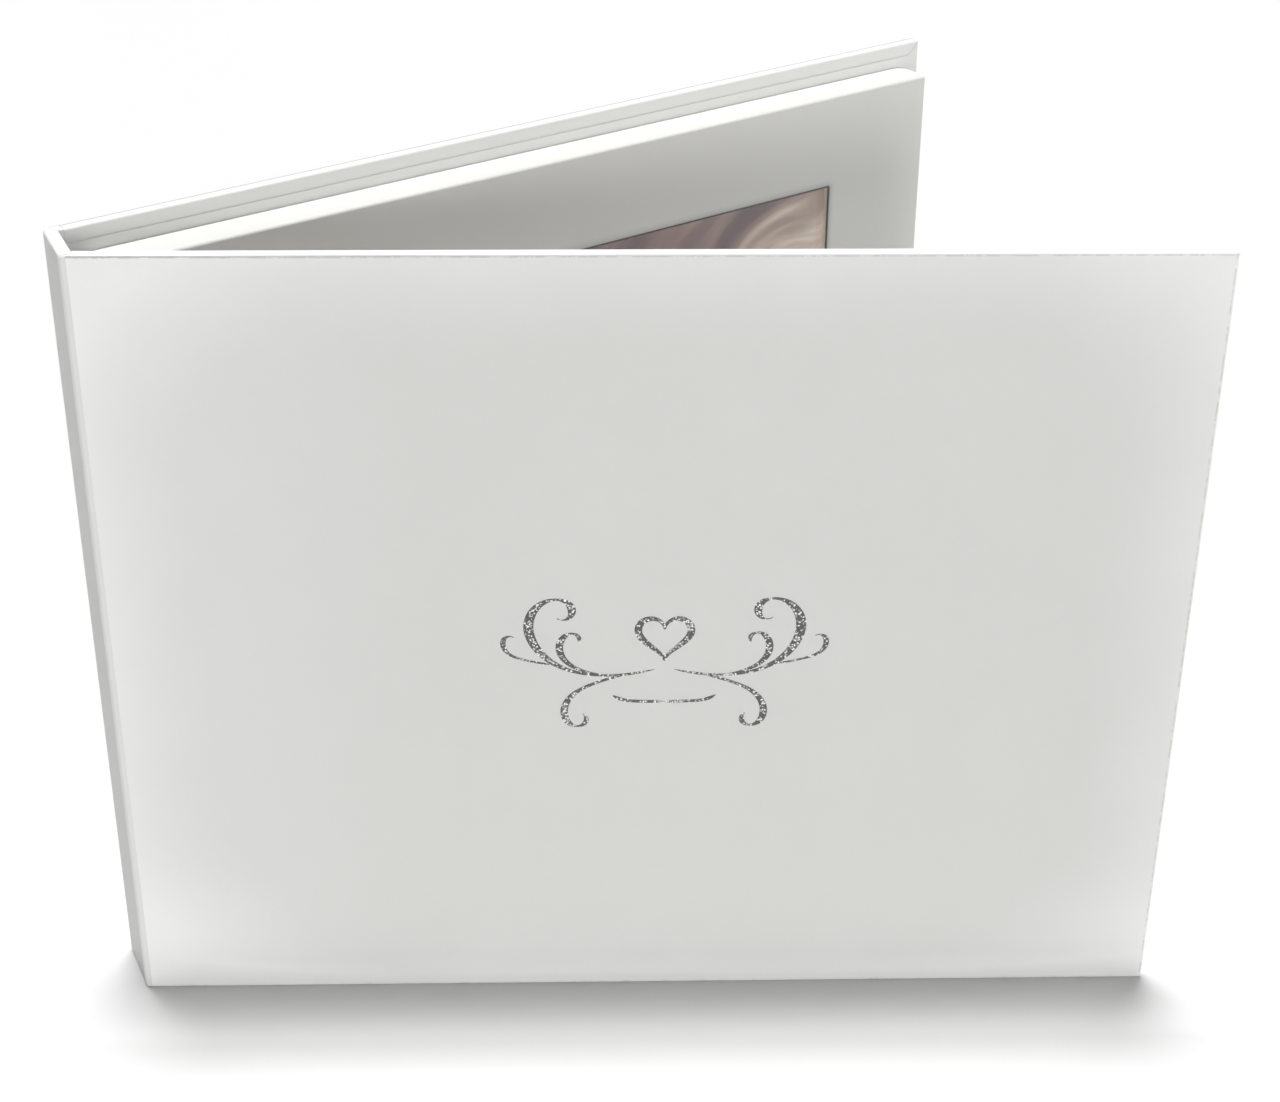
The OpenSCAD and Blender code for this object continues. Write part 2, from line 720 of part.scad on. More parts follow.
module video_processor() {
    color([0.12, 0.12, 0.13]) at_back() on_main(processor_at) {
        seated_box([processor_w, processor_w, processor_t], leg_t);
        for (turn = [0:90:270]) rotate([0, turn, 0]) translate([processor_w / 2, 0, 0])
            leg_row(floor(processor_w / leg_pitch) - 1);
    }
}
module memory_chip() {
    color([0.15, 0.15, 0.16]) at_back() on_main(memory_at) {
        seated_box([memory_w, memory_h, memory_t], leg_t);
        for (turn = [90, 270]) rotate([0, turn, 0]) translate([memory_h / 2, 0, 0])
            leg_row(floor(memory_w / leg_pitch) - 1);
    }
}
module small_components() {
    color([0.62, 0.5, 0.36]) at_back() {
        for (i = [0:3]) on_main(chip_row_at + [i * chip_step, 0]) seated_box(chip_part);
        for (i = [0:2]) on_main(chip_column_at - [0, i * chip_step])
            rotate([0, 90, 0]) seated_box(chip_part);
        on_main(crystal_at) seated_box(crystal);
    }
}
module ribbon_socket() {
    color([0.9, 0.88, 0.8]) at_back() difference() {
        block_slab(ribbon_socket_x - ribbon_socket_w / 2, ribbon_socket_x + ribbon_socket_w / 2,
                   circuit_top, circuit_top + ribbon_socket_t, ribbon_socket_z1 - ribbon_socket_h,
                   ribbon_socket_z1 + ribbon_socket_lip);
        ribbon_slot(circuit_top + ribbon_rise, ribbon_socket_z1 - paper_fit, ribbon_socket_z1 + cut);
    }
}
module battery_socket() {
    color([0.93, 0.92, 0.88]) at_back()
        block_slab(battery_lead_x - battery_socket_w / 2, battery_lead_x + battery_socket_w / 2,
                   circuit_top, circuit_top + socket_h, battery_socket_z1 - battery_socket_h,
                   battery_socket_z1);
}
module speaker_socket() {
    color([0.93, 0.92, 0.88]) at_back()
        block_slab(speaker_socket_x0, speaker_socket_x0 + speaker_socket_w, circuit_top,
                   circuit_top + socket_h, channel_z - speaker_socket_h / 2,
                   channel_z + speaker_socket_h / 2);
}
module magnet_sensor() {
    color([0.13, 0.13, 0.14]) at_back()
        block_pad(sensor_x, sensor_z, sensor.x, sensor.y, circuit_top, circuit_top + sensor.z);
}

// USB socket: a pressed steel shell, narrower against the board, and the contact tongue inside it
module usb_shell(x0, x1, margin) {
    w = usb_w / 2 - margin;
    shoulder = usb_h * usb_shoulder;
    translate([x0, -cover_t - circuit_top, usb_z]) rotate([90, 0, 90]) linear_extrude(x1 - x0) polygon([
        [margin - usb_h, -w], [margin - usb_h, w], [-shoulder, w],
        [-margin, w - usb_taper], [-margin, usb_taper - w], [-shoulder, -w]]);
}
module usb_socket() {
    color([0.78, 0.79, 0.8]) at_back() difference() {
        usb_shell(usb_x1 - usb_len, usb_x1, 0);
        usb_shell(usb_x1 - usb_len + usb_wall, usb_x1 + cut, usb_wall);
    }
}
module usb_tongue() {
    top = circuit_top + usb_h - usb_tongue_gap;
    color([0.15, 0.15, 0.16]) at_back()
        block_slab(usb_x1 - usb_len + usb_wall, usb_x1 - usb_tongue_back, top - usb_tongue_t, top,
                   usb_z - usb_tongue_w / 2, usb_z + usb_tongue_w / 2);
}

// Button circuit board, its switches and the ribbon to the main board
module button_circuit_board() {
    color([0.08, 0.32, 0.18]) at_back()
        block_slab(button_board_x0, button_board_x1, circuit_floor, circuit_top,
                   control_z - button_board_h / 2, control_z + button_board_h / 2);
}
module button_ribbon() {
    color([0.85, 0.84, 0.8]) at_back()
        block_slab(button_board_x1 - button_ribbon_lap, main_x0 + button_ribbon_lap, circuit_top,
                   circuit_top + button_ribbon_t, control_z - button_ribbon_w / 2,
                   control_z + button_ribbon_w / 2);
}
module tact_switches() {
    color([0.7, 0.71, 0.73]) at_back() for (x = button_xs) {
        difference() {
            block_pad(x, control_z, switch_w, switch_w, circuit_top, circuit_top + switch_h);
            block_post(x, control_z, circuit_top + switch_h - switch_well, circuit_top + switch_h + cut,
                       plunger_r + plunger_fit);
        }
        for (turn = [90, 270], side = [-1, 1])
            translate([x + side * switch_w / 3, -cover_t - circuit_top, control_z])
                rotate([0, turn, 0]) translate([switch_w / 2, 0, 0]) leg_row(1, switch_leg_w);
    }
}
module switch_plungers() {
    color([0.1, 0.1, 0.1]) at_back() for (x = button_xs)
        block_post(x, control_z, circuit_top + switch_h - switch_well, plunger_top, plunger_r);
}

// One push button: a dished cap, a flange behind the face and a hub over the switch
module push_button(index) {
    top = block_t + button_proud;
    flange_mid = flange_top - flange_t / 2;
    x = button_xs[index];
    color([0.88, 0.88, 0.87]) at_back() difference() {
        union() {
            block_post(x, control_z, flange_mid, top, button_r);
            block_post(x, control_z, flange_top - flange_t, flange_top, button_r + flange_w);
            block_post(x, control_z, hub_bottom, flange_mid, plunger_r + hub_wall);
        }
        translate([x, -cover_t - top - dish_r + dish_d, control_z]) sphere(r = dish_r, $fn = 96);
    }
}
module volume_down_button() { push_button(0); }
module previous_button() { push_button(1); }
module play_button() { push_button(2); }
module next_button() { push_button(3); }
module volume_up_button() { push_button(4); }

// Battery pouch with round long edges and a thinner folded end for its leads, on its tape
module pouch(z0, z1, t, r) {
    translate([battery_x0, -cover_t - battery_floor - t, z0]) linear_extrude(z1 - z0)
        rounded_profile(battery_w, t, r, r, r, r);
}
module battery() {
    color([0.74, 0.75, 0.77]) at_back() {
        pouch(battery_z0 + battery_fold, battery_z1, battery_t, battery_edge_r);
        pouch(battery_z0, battery_z0 + battery_fold, battery_t * battery_fold_share,
              battery_edge_r * battery_fold_share);
    }
}
module battery_tape() {
    color([0.9, 0.88, 0.75]) at_back()
        block_slab(battery_x0 + battery_tape_inset, battery_x1 - battery_tape_inset, base_top,
                   battery_floor, battery_z0 + battery_tape_inset, battery_z1 - battery_tape_inset);
}

// Round lead swept along a list of points, with one ring of corners at each point
function lead_dir(p, i) = let (a = p[max(i - 1, 0)], b = p[min(i + 1, len(p) - 1)]) (b - a) / norm(b - a);
function lead_side(d) = let (s = abs(d.y) < 0.9 ? cross(d, [0, 1, 0]) : cross(d, [1, 0, 0])) s / norm(s);
module lead(p, r) {
    n = lead_sides;
    rings = [for (i = [0:len(p) - 1])
        let (d = lead_dir(p, i), u = lead_side(d), v = cross(d, u))
            for (k = [0:n - 1]) p[i] + r * (cos(k * 360 / n) * u + sin(k * 360 / n) * v)];
    walls = [for (i = [0:len(p) - 2], k = [0:n - 1])
        let (a = i * n + k, b = i * n + (k + 1) % n) [a, b, b + n, a + n]];
    ends = [[for (k = [n - 1:-1:0]) k], [for (k = [0:n - 1]) (len(p) - 1) * n + k]];
    polyhedron(points = rings, faces = concat(walls, ends), convexity = 6);
}

// Moves a route to its place in the back leaf's plan, set off along X or Z
function on_block(points, dx = 0, dz = 0) = [for (q = points) [q[0] + dx, -cover_t - q[1], q[2] + dz]];

module battery_lead(side, tint) {
    offset_x = side * (lead_d + battery_lead_clear) / 2;
    color(tint) at_back() lead(on_block(battery_route, dx = offset_x), lead_d / 2);
}
module speaker_lead(side, tint) {
    offset_z = side * (lead_d + speaker_lead_clear) / 2;
    color(tint) at_back() lead(on_block(speaker_route, dz = offset_z), lead_d / 2);
}
module battery_red_lead() { battery_lead(-1, [0.7, 0.08, 0.06]); }
module battery_black_lead() { battery_lead(1, [0.08, 0.08, 0.08]); }
module speaker_red_lead() { speaker_lead(1, [0.7, 0.08, 0.06]); }
module speaker_black_lead() { speaker_lead(-1, [0.08, 0.08, 0.08]); }

// Speaker profiles are turned about an axis that points out of the face
module turned(d, angle = 360) {
    translate([speaker_x, -cover_t - d, control_z]) rotate([90, 0, 0]) rotate_extrude(angle = angle)
        children();
}

// Pressed basket with a pole hole, four windows round the magnet, and a block for the terminals
basket_floor_r = speaker_r * 0.62;
basket_step_w = 1.2;
basket_rim_w = 2;
basket_step_r = speaker_r - basket_step_w;
basket_bore_r = speaker_r - basket_rim_w;
basket_pole_r = 3;
basket_window_in = 3.6;
basket_window_gap = 0.6;
basket_window_r0 = speaker_magnet_r + basket_window_gap;
basket_window_r1 = speaker_r - basket_window_in;
basket_window_h = 1.5;
basket_window_angle = 58;
module speaker_basket() {
    color([0.2, 0.2, 0.21]) at_back() difference() {
        union() {
            turned(speaker_back) polygon([
                [basket_pole_r, 0], [basket_floor_r, 0], [basket_step_r, speaker_deep - speaker_rim_t],
                [speaker_r, speaker_deep - speaker_rim_t], [speaker_r, speaker_deep],
                [basket_bore_r, speaker_deep], [basket_bore_r, speaker_deep - speaker_rim_t / 2],
                [basket_floor_r - speaker_wall / 2, speaker_wall], [basket_pole_r, speaker_wall]]);
            block_slab(speaker_x - terminal_w / 2, speaker_x + terminal_w / 2,
                       circuit_top + terminal_rise, speaker_top - speaker_rim_t / 2,
                       terminal_z - terminal_h / 2, terminal_z + terminal_h / 2);
        }
        for (turn = [0:90:270]) basket_window(turn - basket_window_angle / 2);
    }
}
module basket_window(from) {
    translate([speaker_x, -cover_t - speaker_back, control_z]) rotate([90, 0, 0]) rotate([0, 0, from])
        rotate_extrude(angle = basket_window_angle)
            translate([basket_window_r0, -cut])
                square([basket_window_r1 - basket_window_r0, basket_window_h + cut]);
}

// Pressed paper cone with a dust cap in its middle and a rolled surround at its rim
cone_t = 0.35;
cap_r = 4;
cap_rise = 2.1;
cap_foot = 1.4;
surround_w = 1.35;
surround_foot_w = 0.65;
surround_roll = 0.1;
module speaker_cone() {
    rim_r = basket_bore_r - paper_fit;
    roll_r = rim_r - surround_foot_w;
    neck_r = rim_r - surround_w;
    color([0.12, 0.12, 0.13]) at_back() turned(speaker_back) polygon([
        [0, cap_rise], [cap_r / 2, cap_rise - surround_roll], [cap_r, cap_foot],
        [neck_r, speaker_deep - surround_w + cone_t + surround_roll],
        [roll_r, speaker_deep - cone_t - paper_fit],
        [rim_r, speaker_deep - cone_t - surround_roll], [rim_r, speaker_deep - 2 * surround_roll],
        [roll_r, speaker_deep - surround_roll], [neck_r, speaker_deep - surround_w + 2 * cone_t + paper_fit],
        [cap_r, cap_foot + cone_t], [cap_r / 2, cap_rise - surround_roll + cone_t], [0, cap_rise + cone_t]]);
}
module speaker_magnet() {
    color([0.7, 0.7, 0.72]) at_back()
        block_post(speaker_x, control_z, speaker_floor, speaker_back, speaker_magnet_r);
}

back_board();
back_wrap();
back_lining();
spine_board();
spine_wrap();
spine_lining();
front_board();
front_wrap();
front_lining();
cover_magnet();
rear_hinge_lining();
front_hinge_lining();
block_adhesive();
base_card();
block_frame();
face_board();
block_wrap();
window_film();
panel_bezel();
panel_glass();
panel_backlight();
panel_ribbon();
main_circuit_board();
video_processor();
memory_chip();
small_components();
ribbon_socket();
battery_socket();
speaker_socket();
usb_socket();
usb_tongue();
magnet_sensor();
button_circuit_board();
button_ribbon();
tact_switches();
switch_plungers();
volume_down_button();
previous_button();
play_button();
next_button();
volume_up_button();
battery();
battery_tape();
battery_red_lead();
battery_black_lead();
speaker_basket();
speaker_cone();
speaker_magnet();
speaker_red_lead();
speaker_black_lead();
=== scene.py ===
"""Dresses a hardcover book with a seven inch screen in its back cover, standing open on its lower edges.

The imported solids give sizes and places. This script adds the paper that bends over the folds, the softened
screen block, the lit picture, the foil flourish on the front cover, all finishes, and the studio.
"""

import json
import logging
import math
from dataclasses import dataclass
from enum import Enum
from typing import Any, Iterable, Sequence

import bmesh
import bpy
from mathutils import Matrix, Vector


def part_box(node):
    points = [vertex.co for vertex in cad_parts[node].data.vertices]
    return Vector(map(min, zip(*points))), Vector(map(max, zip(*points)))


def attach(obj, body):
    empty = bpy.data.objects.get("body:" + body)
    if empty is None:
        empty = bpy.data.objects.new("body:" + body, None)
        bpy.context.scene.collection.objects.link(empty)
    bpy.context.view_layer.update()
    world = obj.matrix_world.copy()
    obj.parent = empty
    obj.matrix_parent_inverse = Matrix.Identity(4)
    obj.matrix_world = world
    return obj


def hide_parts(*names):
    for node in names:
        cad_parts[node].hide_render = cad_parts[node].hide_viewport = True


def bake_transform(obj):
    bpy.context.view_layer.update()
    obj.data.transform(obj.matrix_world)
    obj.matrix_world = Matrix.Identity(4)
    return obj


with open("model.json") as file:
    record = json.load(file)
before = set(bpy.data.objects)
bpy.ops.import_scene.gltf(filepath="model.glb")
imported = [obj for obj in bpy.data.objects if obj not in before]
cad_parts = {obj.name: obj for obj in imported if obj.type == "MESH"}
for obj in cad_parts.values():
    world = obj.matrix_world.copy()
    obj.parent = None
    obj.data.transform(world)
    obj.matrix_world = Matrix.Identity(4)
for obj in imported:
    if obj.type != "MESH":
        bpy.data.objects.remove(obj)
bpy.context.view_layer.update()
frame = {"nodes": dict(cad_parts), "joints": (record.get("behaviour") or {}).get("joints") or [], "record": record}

MM = 0.001
WELD = 0.002 * MM
SAME_POINT = 1e-7
SOFT_EDGE = 40.0
UP = Vector((0.0, 0.0, 1.0))
log = logging.getLogger("video_book")

Wire = bpy.types.NodeSocket
Tree = bpy.types.NodeTree
Piece = bpy.types.Object
Colour = tuple[float, float, float, float]
Triple = tuple[float, float, float]
Point = tuple[float, float]
WHITE: Colour = (1.0, 1.0, 1.0, 1.0)
BLACK: Colour = (0.0, 0.0, 0.0, 1.0)


def colour(code: str) -> Colour:
    """Turns a six digit sRGB code into a linear colour.

    Args:
        code: Red, green and blue as two hexadecimal digits each.

    Returns:
        Linear red, green and blue, and full alpha.
    """
    parts = [int(code[i:i + 2], 16) / 255 for i in (0, 2, 4)]
    linear = [p / 12.92 if p <= 0.04045 else ((p + 0.055) / 1.055) ** 2.4 for p in parts]
    return (*linear, 1.0)


def dimmed(tone: Colour, share: float) -> Colour:
    """Returns a colour at a share of its brightness."""
    return (*(share * part for part in tone[:3]), 1.0)


class Graph:
    """Adds nodes to a tree and wires them by the names of their sockets."""

    def __init__(self, tree: Tree) -> None:
        """Takes the node tree to fill."""
        self.tree = tree

    @classmethod
    def emptied(cls, owner: bpy.types.Material | bpy.types.World) -> "Graph":
        """Empties the node tree of a material or a world.

        Args:
            owner: The material or the world.

        Returns:
            A graph on its empty tree.
        """
        owner.use_nodes = True
        owner.node_tree.nodes.clear()
        return cls(owner.node_tree)

    def add(self, kind: str, inputs: dict[Any, Any] | None = None, **settings: Any) -> bpy.types.Node:
        """Adds one node.

        Args:
            kind: The node's type.
            inputs: Values, sockets or nodes for its inputs, by name or number.
            settings: Values of the node's own properties.

        Returns:
            The new node.
        """
        node = self.tree.nodes.new(kind)
        for name, value in settings.items():
            setattr(node, name, value)
        self.feed_all(node.inputs, inputs or {})
        return node

    def feed(self, socket: Wire, value: Any) -> None:
        """Links a socket or sets its value.

        Args:
            socket: The input to feed.
            value: A socket, a node whose first output is meant, or a plain value.
        """
        if isinstance(value, bpy.types.Node):
            value = value.outputs[0]
        if isinstance(value, Wire):
            self.tree.links.new(value, socket)
        else:
            socket.default_value = value

    def feed_all(self, sockets: Any, values: dict[Any, Any]) -> None:
        """Feeds several sockets by name or number."""
        for name, value in values.items():
            self.feed(sockets[name], value)

    def calc(self, operation: str, a: Any, b: Any = 0.0, c: Any = 0.0) -> Wire:
        """Adds a Math node and returns its result."""
        return self.add("ShaderNodeMath", {0: a, 1: b, 2: c}, operation=operation).outputs[0]

    def plus(self, a: Any, b: Any) -> Wire:
        """Returns the sum of two values."""
        return self.calc("ADD", a, b)

    def minus(self, a: Any, b: Any) -> Wire:
        """Returns the difference of two values."""
        return self.calc("SUBTRACT", a, b)

    def times(self, a: Any, b: Any) -> Wire:
        """Returns the product of two values."""
        return self.calc("MULTIPLY", a, b)

    def times_plus(self, a: Any, b: Any, c: Any) -> Wire:
        """Returns the product of two values plus a third."""
        return self.calc("MULTIPLY_ADD", a, b, c)

    def around(self, middle: float, share: Any, swing: float) -> Wire:
        """Returns a value that swings about its middle as a share goes from 0 to 1."""
        return self.times_plus(share, swing, middle - swing / 2)

    def ramp(self, value: Any, low: Any, high: Any, start: float = 0.0, end: float = 1.0,
             smooth: bool = True) -> Wire:
        """Maps a value from one range to another and holds it there.

        Args:
            value: The socket to map.
            low: Value that gives start.
            high: Value that gives end.
            start: Result at low.
            end: Result at high.
            smooth: Whether the step eases in and out.

        Returns:
            The mapped socket.
        """
        kind = "SMOOTHSTEP" if smooth else "LINEAR"
        node = self.add("ShaderNodeMapRange", {0: value, 1: low, 2: high, 3: start, 4: end},
                        interpolation_type=kind)
        return node.outputs[0]

    def mix(self, factor: Any, a: Any, b: Any) -> Wire:
        """Mixes two colours by a factor and returns the colour."""
        return self.add("ShaderNodeMix", {0: factor, 6: a, 7: b}, data_type="RGBA").outputs[2]

    def shaded(self, tone: Any, level: Any) -> Wire:
        """Multiplies a colour by a level and returns the colour."""
        return self.add("ShaderNodeVectorMath", {0: tone, "Scale": level}, operation="SCALE").outputs[0]

    def noise(self, place: Any, scale: Any, detail: float = 2.0, rough: float = 0.5,
              distortion: float = 0.0) -> Wire:
        """Adds a noise texture and returns its value."""
        return self.add("ShaderNodeTexNoise", {"Vector": place, "Scale": scale, "Detail": detail,
                                               "Roughness": rough, "Distortion": distortion}).outputs[0]

    def cells(self, place: Any, scale: Any, feature: str = "F1") -> Any:
        """Adds a cell texture and returns its outputs."""
        return self.add("ShaderNodeTexVoronoi", {"Vector": place, "Scale": scale}, feature=feature).outputs

    def split(self, vector: Any) -> Sequence[Wire]:
        """Returns a vector's three parts."""
        return self.add("ShaderNodeSeparateXYZ", {0: vector}).outputs

    def join(self, x: Any, y: Any, z: Any) -> Wire:
        """Returns a vector made of three parts."""
        return self.add("ShaderNodeCombineXYZ", {0: x, 1: y, 2: z}).outputs[0]

    def length(self, a: Any, b: Any) -> Wire:
        """Returns the length of a line with two given legs."""
        return self.calc("SQRT", self.times_plus(a, a, self.times(b, b)))

    def centred(self, vector: Any, centre: Vector, turn: float = 0.0, scale: float = 1.0) -> Any:
        """Counts a vector from a centre, along axes turned about Z.

        Args:
            vector: The coordinates to change.
            centre: Where the new coordinates are zero.
            turn: Angle of the new X axis, in radians.
            scale: Length that counts as one.

        Returns:
            The new coordinates.
        """
        node = self.add("ShaderNodeMapping", {0: vector, 1: centre, 2: (0.0, 0.0, turn),
                                              3: (scale, scale, scale)}, vector_type="TEXTURE")
        return node.outputs[0]


class Socket(Enum):
    """Kinds of socket that a shader group has."""

    VALUE = "NodeSocketFloat"
    VECTOR = "NodeSocketVector"
    COLOUR = "NodeSocketColor"


class Effects:
    """Shader node groups that several finishes share. Each is built the first time it is asked for."""

    @staticmethod
    def start(name: str, inputs: dict[str, Socket], outputs: dict[str, Socket]) -> tuple[Any, Any, Any]:
        """Starts a group with named sockets.

        Args:
            name: The group's name.
            inputs: Kind of each input by name.
            outputs: Kind of each output by name.

        Returns:
            The graph, the inside of the inputs and the outputs' node.
        """
        tree = bpy.data.node_groups.new(name, "ShaderNodeTree")
        for way, sockets in (("INPUT", inputs), ("OUTPUT", outputs)):
            for label, kind in sockets.items():
                tree.interface.new_socket(label, in_out=way, socket_type=kind.value)
        graph = Graph(tree)
        return graph, graph.add("NodeGroupInput").outputs, graph.add("NodeGroupOutput").inputs

    @staticmethod
    def end(graph: Graph, out: Any, values: dict[str, Any]) -> Tree:
        """Feeds a group's outputs by name and returns its tree."""
        graph.feed_all(out, values)
        return graph.tree

    @classmethod
    def group(cls, name: str) -> Tree:
        """Returns a group by name, and builds it first if it isn't there yet."""
        return bpy.data.node_groups.get(name) or getattr(cls, name)()

    @classmethod
    def paper_fibre(cls) -> Tree:
        """Builds pulp fibres, faint clouding, and scuffs along the edge that the book stands on.

        Returns:
            The group's tree.
        """
        g, given, out = cls.start(
            "paper_fibre",
            {"Vector": Socket.VECTOR, "Tone": Socket.COLOUR, "Clouding": Socket.VALUE,
             "Fibre Scale": Socket.VALUE, "Scuffing": Socket.VALUE},
            {"Color": Socket.COLOUR, "Height": Socket.VALUE, "Wear": Socket.VALUE})
        place, clouding = given["Vector"], given["Clouding"]
        x, y, z = g.split(place)
        cloud = g.noise(place, 38.0, detail=3.0)
        strands = g.join(g.times(x, 0.35), g.times(y, 0.35), z)
        fibre = g.noise(strands, given["Fibre Scale"], detail=4.0, rough=0.65, distortion=0.6)
        level = g.times_plus(g.minus(cloud, 0.5), clouding, 1.0)
        level = g.times_plus(g.minus(fibre, 0.5), g.times(clouding, 0.6), level)
        near_tail = g.ramp(z, 0.1 * MM, 0.9 * MM, 1.0, 0.0)
        patchy = g.ramp(g.noise(place, 240.0, detail=4.0, rough=0.7), 0.48, 0.66)
        wear = g.times(g.times(near_tail, patchy), given["Scuffing"])
        dull = g.times_plus(wear, -0.3, 1.0)
        return cls.end(g, out, {"Color": g.shaded(given["Tone"], g.times(level, dull)), "Height": fibre,
                                "Wear": wear})

    @classmethod
    def soft_panel(cls) -> Tree:
        """Builds a mask that is 0 inside a rounded rectangle and rises to 1 past its edge.

        Returns:
            The group's tree.
        """
        g, given, out = cls.start(
            "soft_panel",
            {"Vector": Socket.VECTOR, "Half Width": Socket.VALUE, "Half Height": Socket.VALUE,
             "Corner": Socket.VALUE, "Feather": Socket.VALUE, "Wander": Socket.VALUE},
            {"Mask": Socket.VALUE})
        x, _, z = g.split(given["Vector"])
        drift = g.minus(g.noise(given["Vector"], 22.0), 0.5)
        spans = []
        for part, half in ((x, given["Half Width"]), (z, given["Half Height"])):
            inner = g.minus(half, given["Corner"])
            spans.append(g.calc("MAXIMUM", g.minus(g.calc("ABSOLUTE", part), inner), 0.0))
        past = g.minus(g.length(*spans), given["Corner"])
        past = g.times_plus(drift, given["Wander"], past)
        half_feather = g.times(given["Feather"], 0.5)
        return cls.end(g, out, {"Mask": g.ramp(past, g.times(half_feather, -1.0), half_feather)})

    @classmethod
    def edge_shade_highlight(cls) -> Tree:
        """Builds painted shade and highlight along wrapped edges: a broken painted shade line at head and
        fore-edge where the edge turns away, a painted highlight line along the tail, and a painted shade rim along
        the head.

        Returns:
            The group's tree.
        """
        g, given, out = cls.start(
            "edge_shade_highlight",
            {"Vector": Socket.VECTOR, "Half Width": Socket.VALUE, "Half Height": Socket.VALUE,
             "Inset": Socket.VALUE},
            {"Dark": Socket.VALUE, "Bright": Socket.VALUE, "Rim": Socket.VALUE})
        fine_line, tail_line, tail_inset = 0.1, 0.3, 1.6
        x, y, z = g.split(given["Vector"])
        inset = given["Inset"]
        from_head = g.minus(given["Half Height"], z)
        from_tail = g.plus(given["Half Height"], z)
        from_leaf = g.calc("ABSOLUTE", y)

        def line(distance: Any, at: Any, half_width: float) -> Wire:
            """Returns 1 on a line at a distance from an edge, of a half width in millimetres."""
            off = g.calc("ABSOLUTE", g.minus(distance, at))
            return g.ramp(off, half_width * MM, 1.8 * half_width * MM, 1.0, 0.0)

        # Painted light: Dark is painted shade at head and fore-edge, Bright a painted highlight along the tail,
        # Rim painted shade on the head's outer rounding.
        broken = g.ramp(g.noise(g.join(x, 0.0, z), 300.0, detail=3.0, rough=0.7), 0.42, 0.55)
        head = line(from_head, inset, fine_line)
        fore = line(g.minus(given["Half Width"], x), inset, fine_line)
        tail = line(from_tail, g.times(inset, tail_inset), tail_line)
        on_face = g.ramp(from_leaf, 0.5 * MM, 0.8 * MM, 1.0, 0.0)
        on_rim = g.ramp(from_leaf, 0.7 * MM, 0.95 * MM, 1.0, 0.0)
        dark = g.times(g.calc("MAXIMUM", head, fore), broken)
        rim = g.times(g.ramp(from_head, 0.3 * MM, 0.5 * MM, 1.0, 0.0), on_rim)
        return cls.end(g, out, {"Dark": g.times(dark, on_face), "Bright": g.times(tail, on_face), "Rim": rim})

    @classmethod
    def pressed_flecks(cls) -> Tree:
        """Builds the mixed light and dark flecks of pulp board, foam and moulded grain.

        Returns:
            The group's tree.
        """
        g, given, out = cls.start(
            "pressed_flecks",
            {"Vector": Socket.VECTOR, "Light": Socket.COLOUR, "Dark": Socket.COLOUR, "Scale": Socket.VALUE},
            {"Color": Socket.COLOUR, "Height": Socket.VALUE, "Share": Socket.VALUE})
        place, scale = given["Vector"], given["Scale"]
        spot = g.ramp(g.cells(place, scale)["Distance"], 0.1, 0.55)
        cloud = g.noise(place, g.times(scale, 0.35), detail=4.0, rough=0.6)
        share = g.times_plus(spot, 0.45, g.times(cloud, 0.55))
        return cls.end(g, out, {"Color": g.mix(share, given["Dark"], given["Light"]), "Height": share,
                                "Share": share})

    @classmethod
    def rolled_streaks(cls) -> Tree:
        """Builds the fine lengthwise streaks and faint stains of rolled sheet metal.

        Returns:
            The group's tree.
        """
        g, given, out = cls.start(
            "rolled_streaks",
            {"Vector": Socket.VECTOR, "Tone": Socket.COLOUR, "Scale": Socket.VALUE, "Depth": Socket.VALUE},
            {"Color": Socket.COLOUR, "Roughness": Socket.VALUE, "Height": Socket.VALUE})
        place, scale = given["Vector"], given["Scale"]
        x, y, z = g.split(place)
        streak = g.noise(g.join(g.times(x, 0.04), y, z), scale, detail=3.0, rough=0.6)
        stain = g.noise(place, g.times(scale, 0.06), detail=3.0, rough=0.6)
        level = g.times_plus(g.minus(streak, 0.5), given["Depth"], 1.0)
        rough = g.ramp(g.times_plus(streak, 0.5, g.times(stain, 0.5)), 0.3, 0.7, 0.24, 0.46)
        return cls.end(g, out, {"Color": g.shaded(given["Tone"], level), "Roughness": rough,
                                "Height": streak})

    @classmethod
    def foil_grains(cls) -> Tree:
        """Builds the separate dark and bright grains of glitter foil.

        Returns:
            The group's tree.
        """
        g, given, out = cls.start(
            "foil_grains",
            {"Vector": Socket.VECTOR, "Dark": Socket.COLOUR, "Bright": Socket.COLOUR, "Scale": Socket.VALUE,
             "Bright Share": Socket.VALUE},
            {"Color": Socket.COLOUR, "Roughness": Socket.VALUE, "Height": Socket.VALUE})
        place, scale = given["Vector"], given["Scale"]
        draw = g.split(g.cells(place, scale)["Color"])[0]
        bright = g.ramp(draw, g.minus(1.0, given["Bright Share"]), 1.0, smooth=False)
        fine = g.noise(place, g.times(scale, 0.5), detail=3.0)
        shade = g.times_plus(g.minus(fine, 0.5), 0.35, bright)
        return cls.end(g, out, {
            "Color": g.mix(g.ramp(shade, 0.0, 0.8), given["Dark"], given["Bright"]),
            "Roughness": g.ramp(draw, 0.0, 1.0, 0.5, 0.25, smooth=False), "Height": draw})

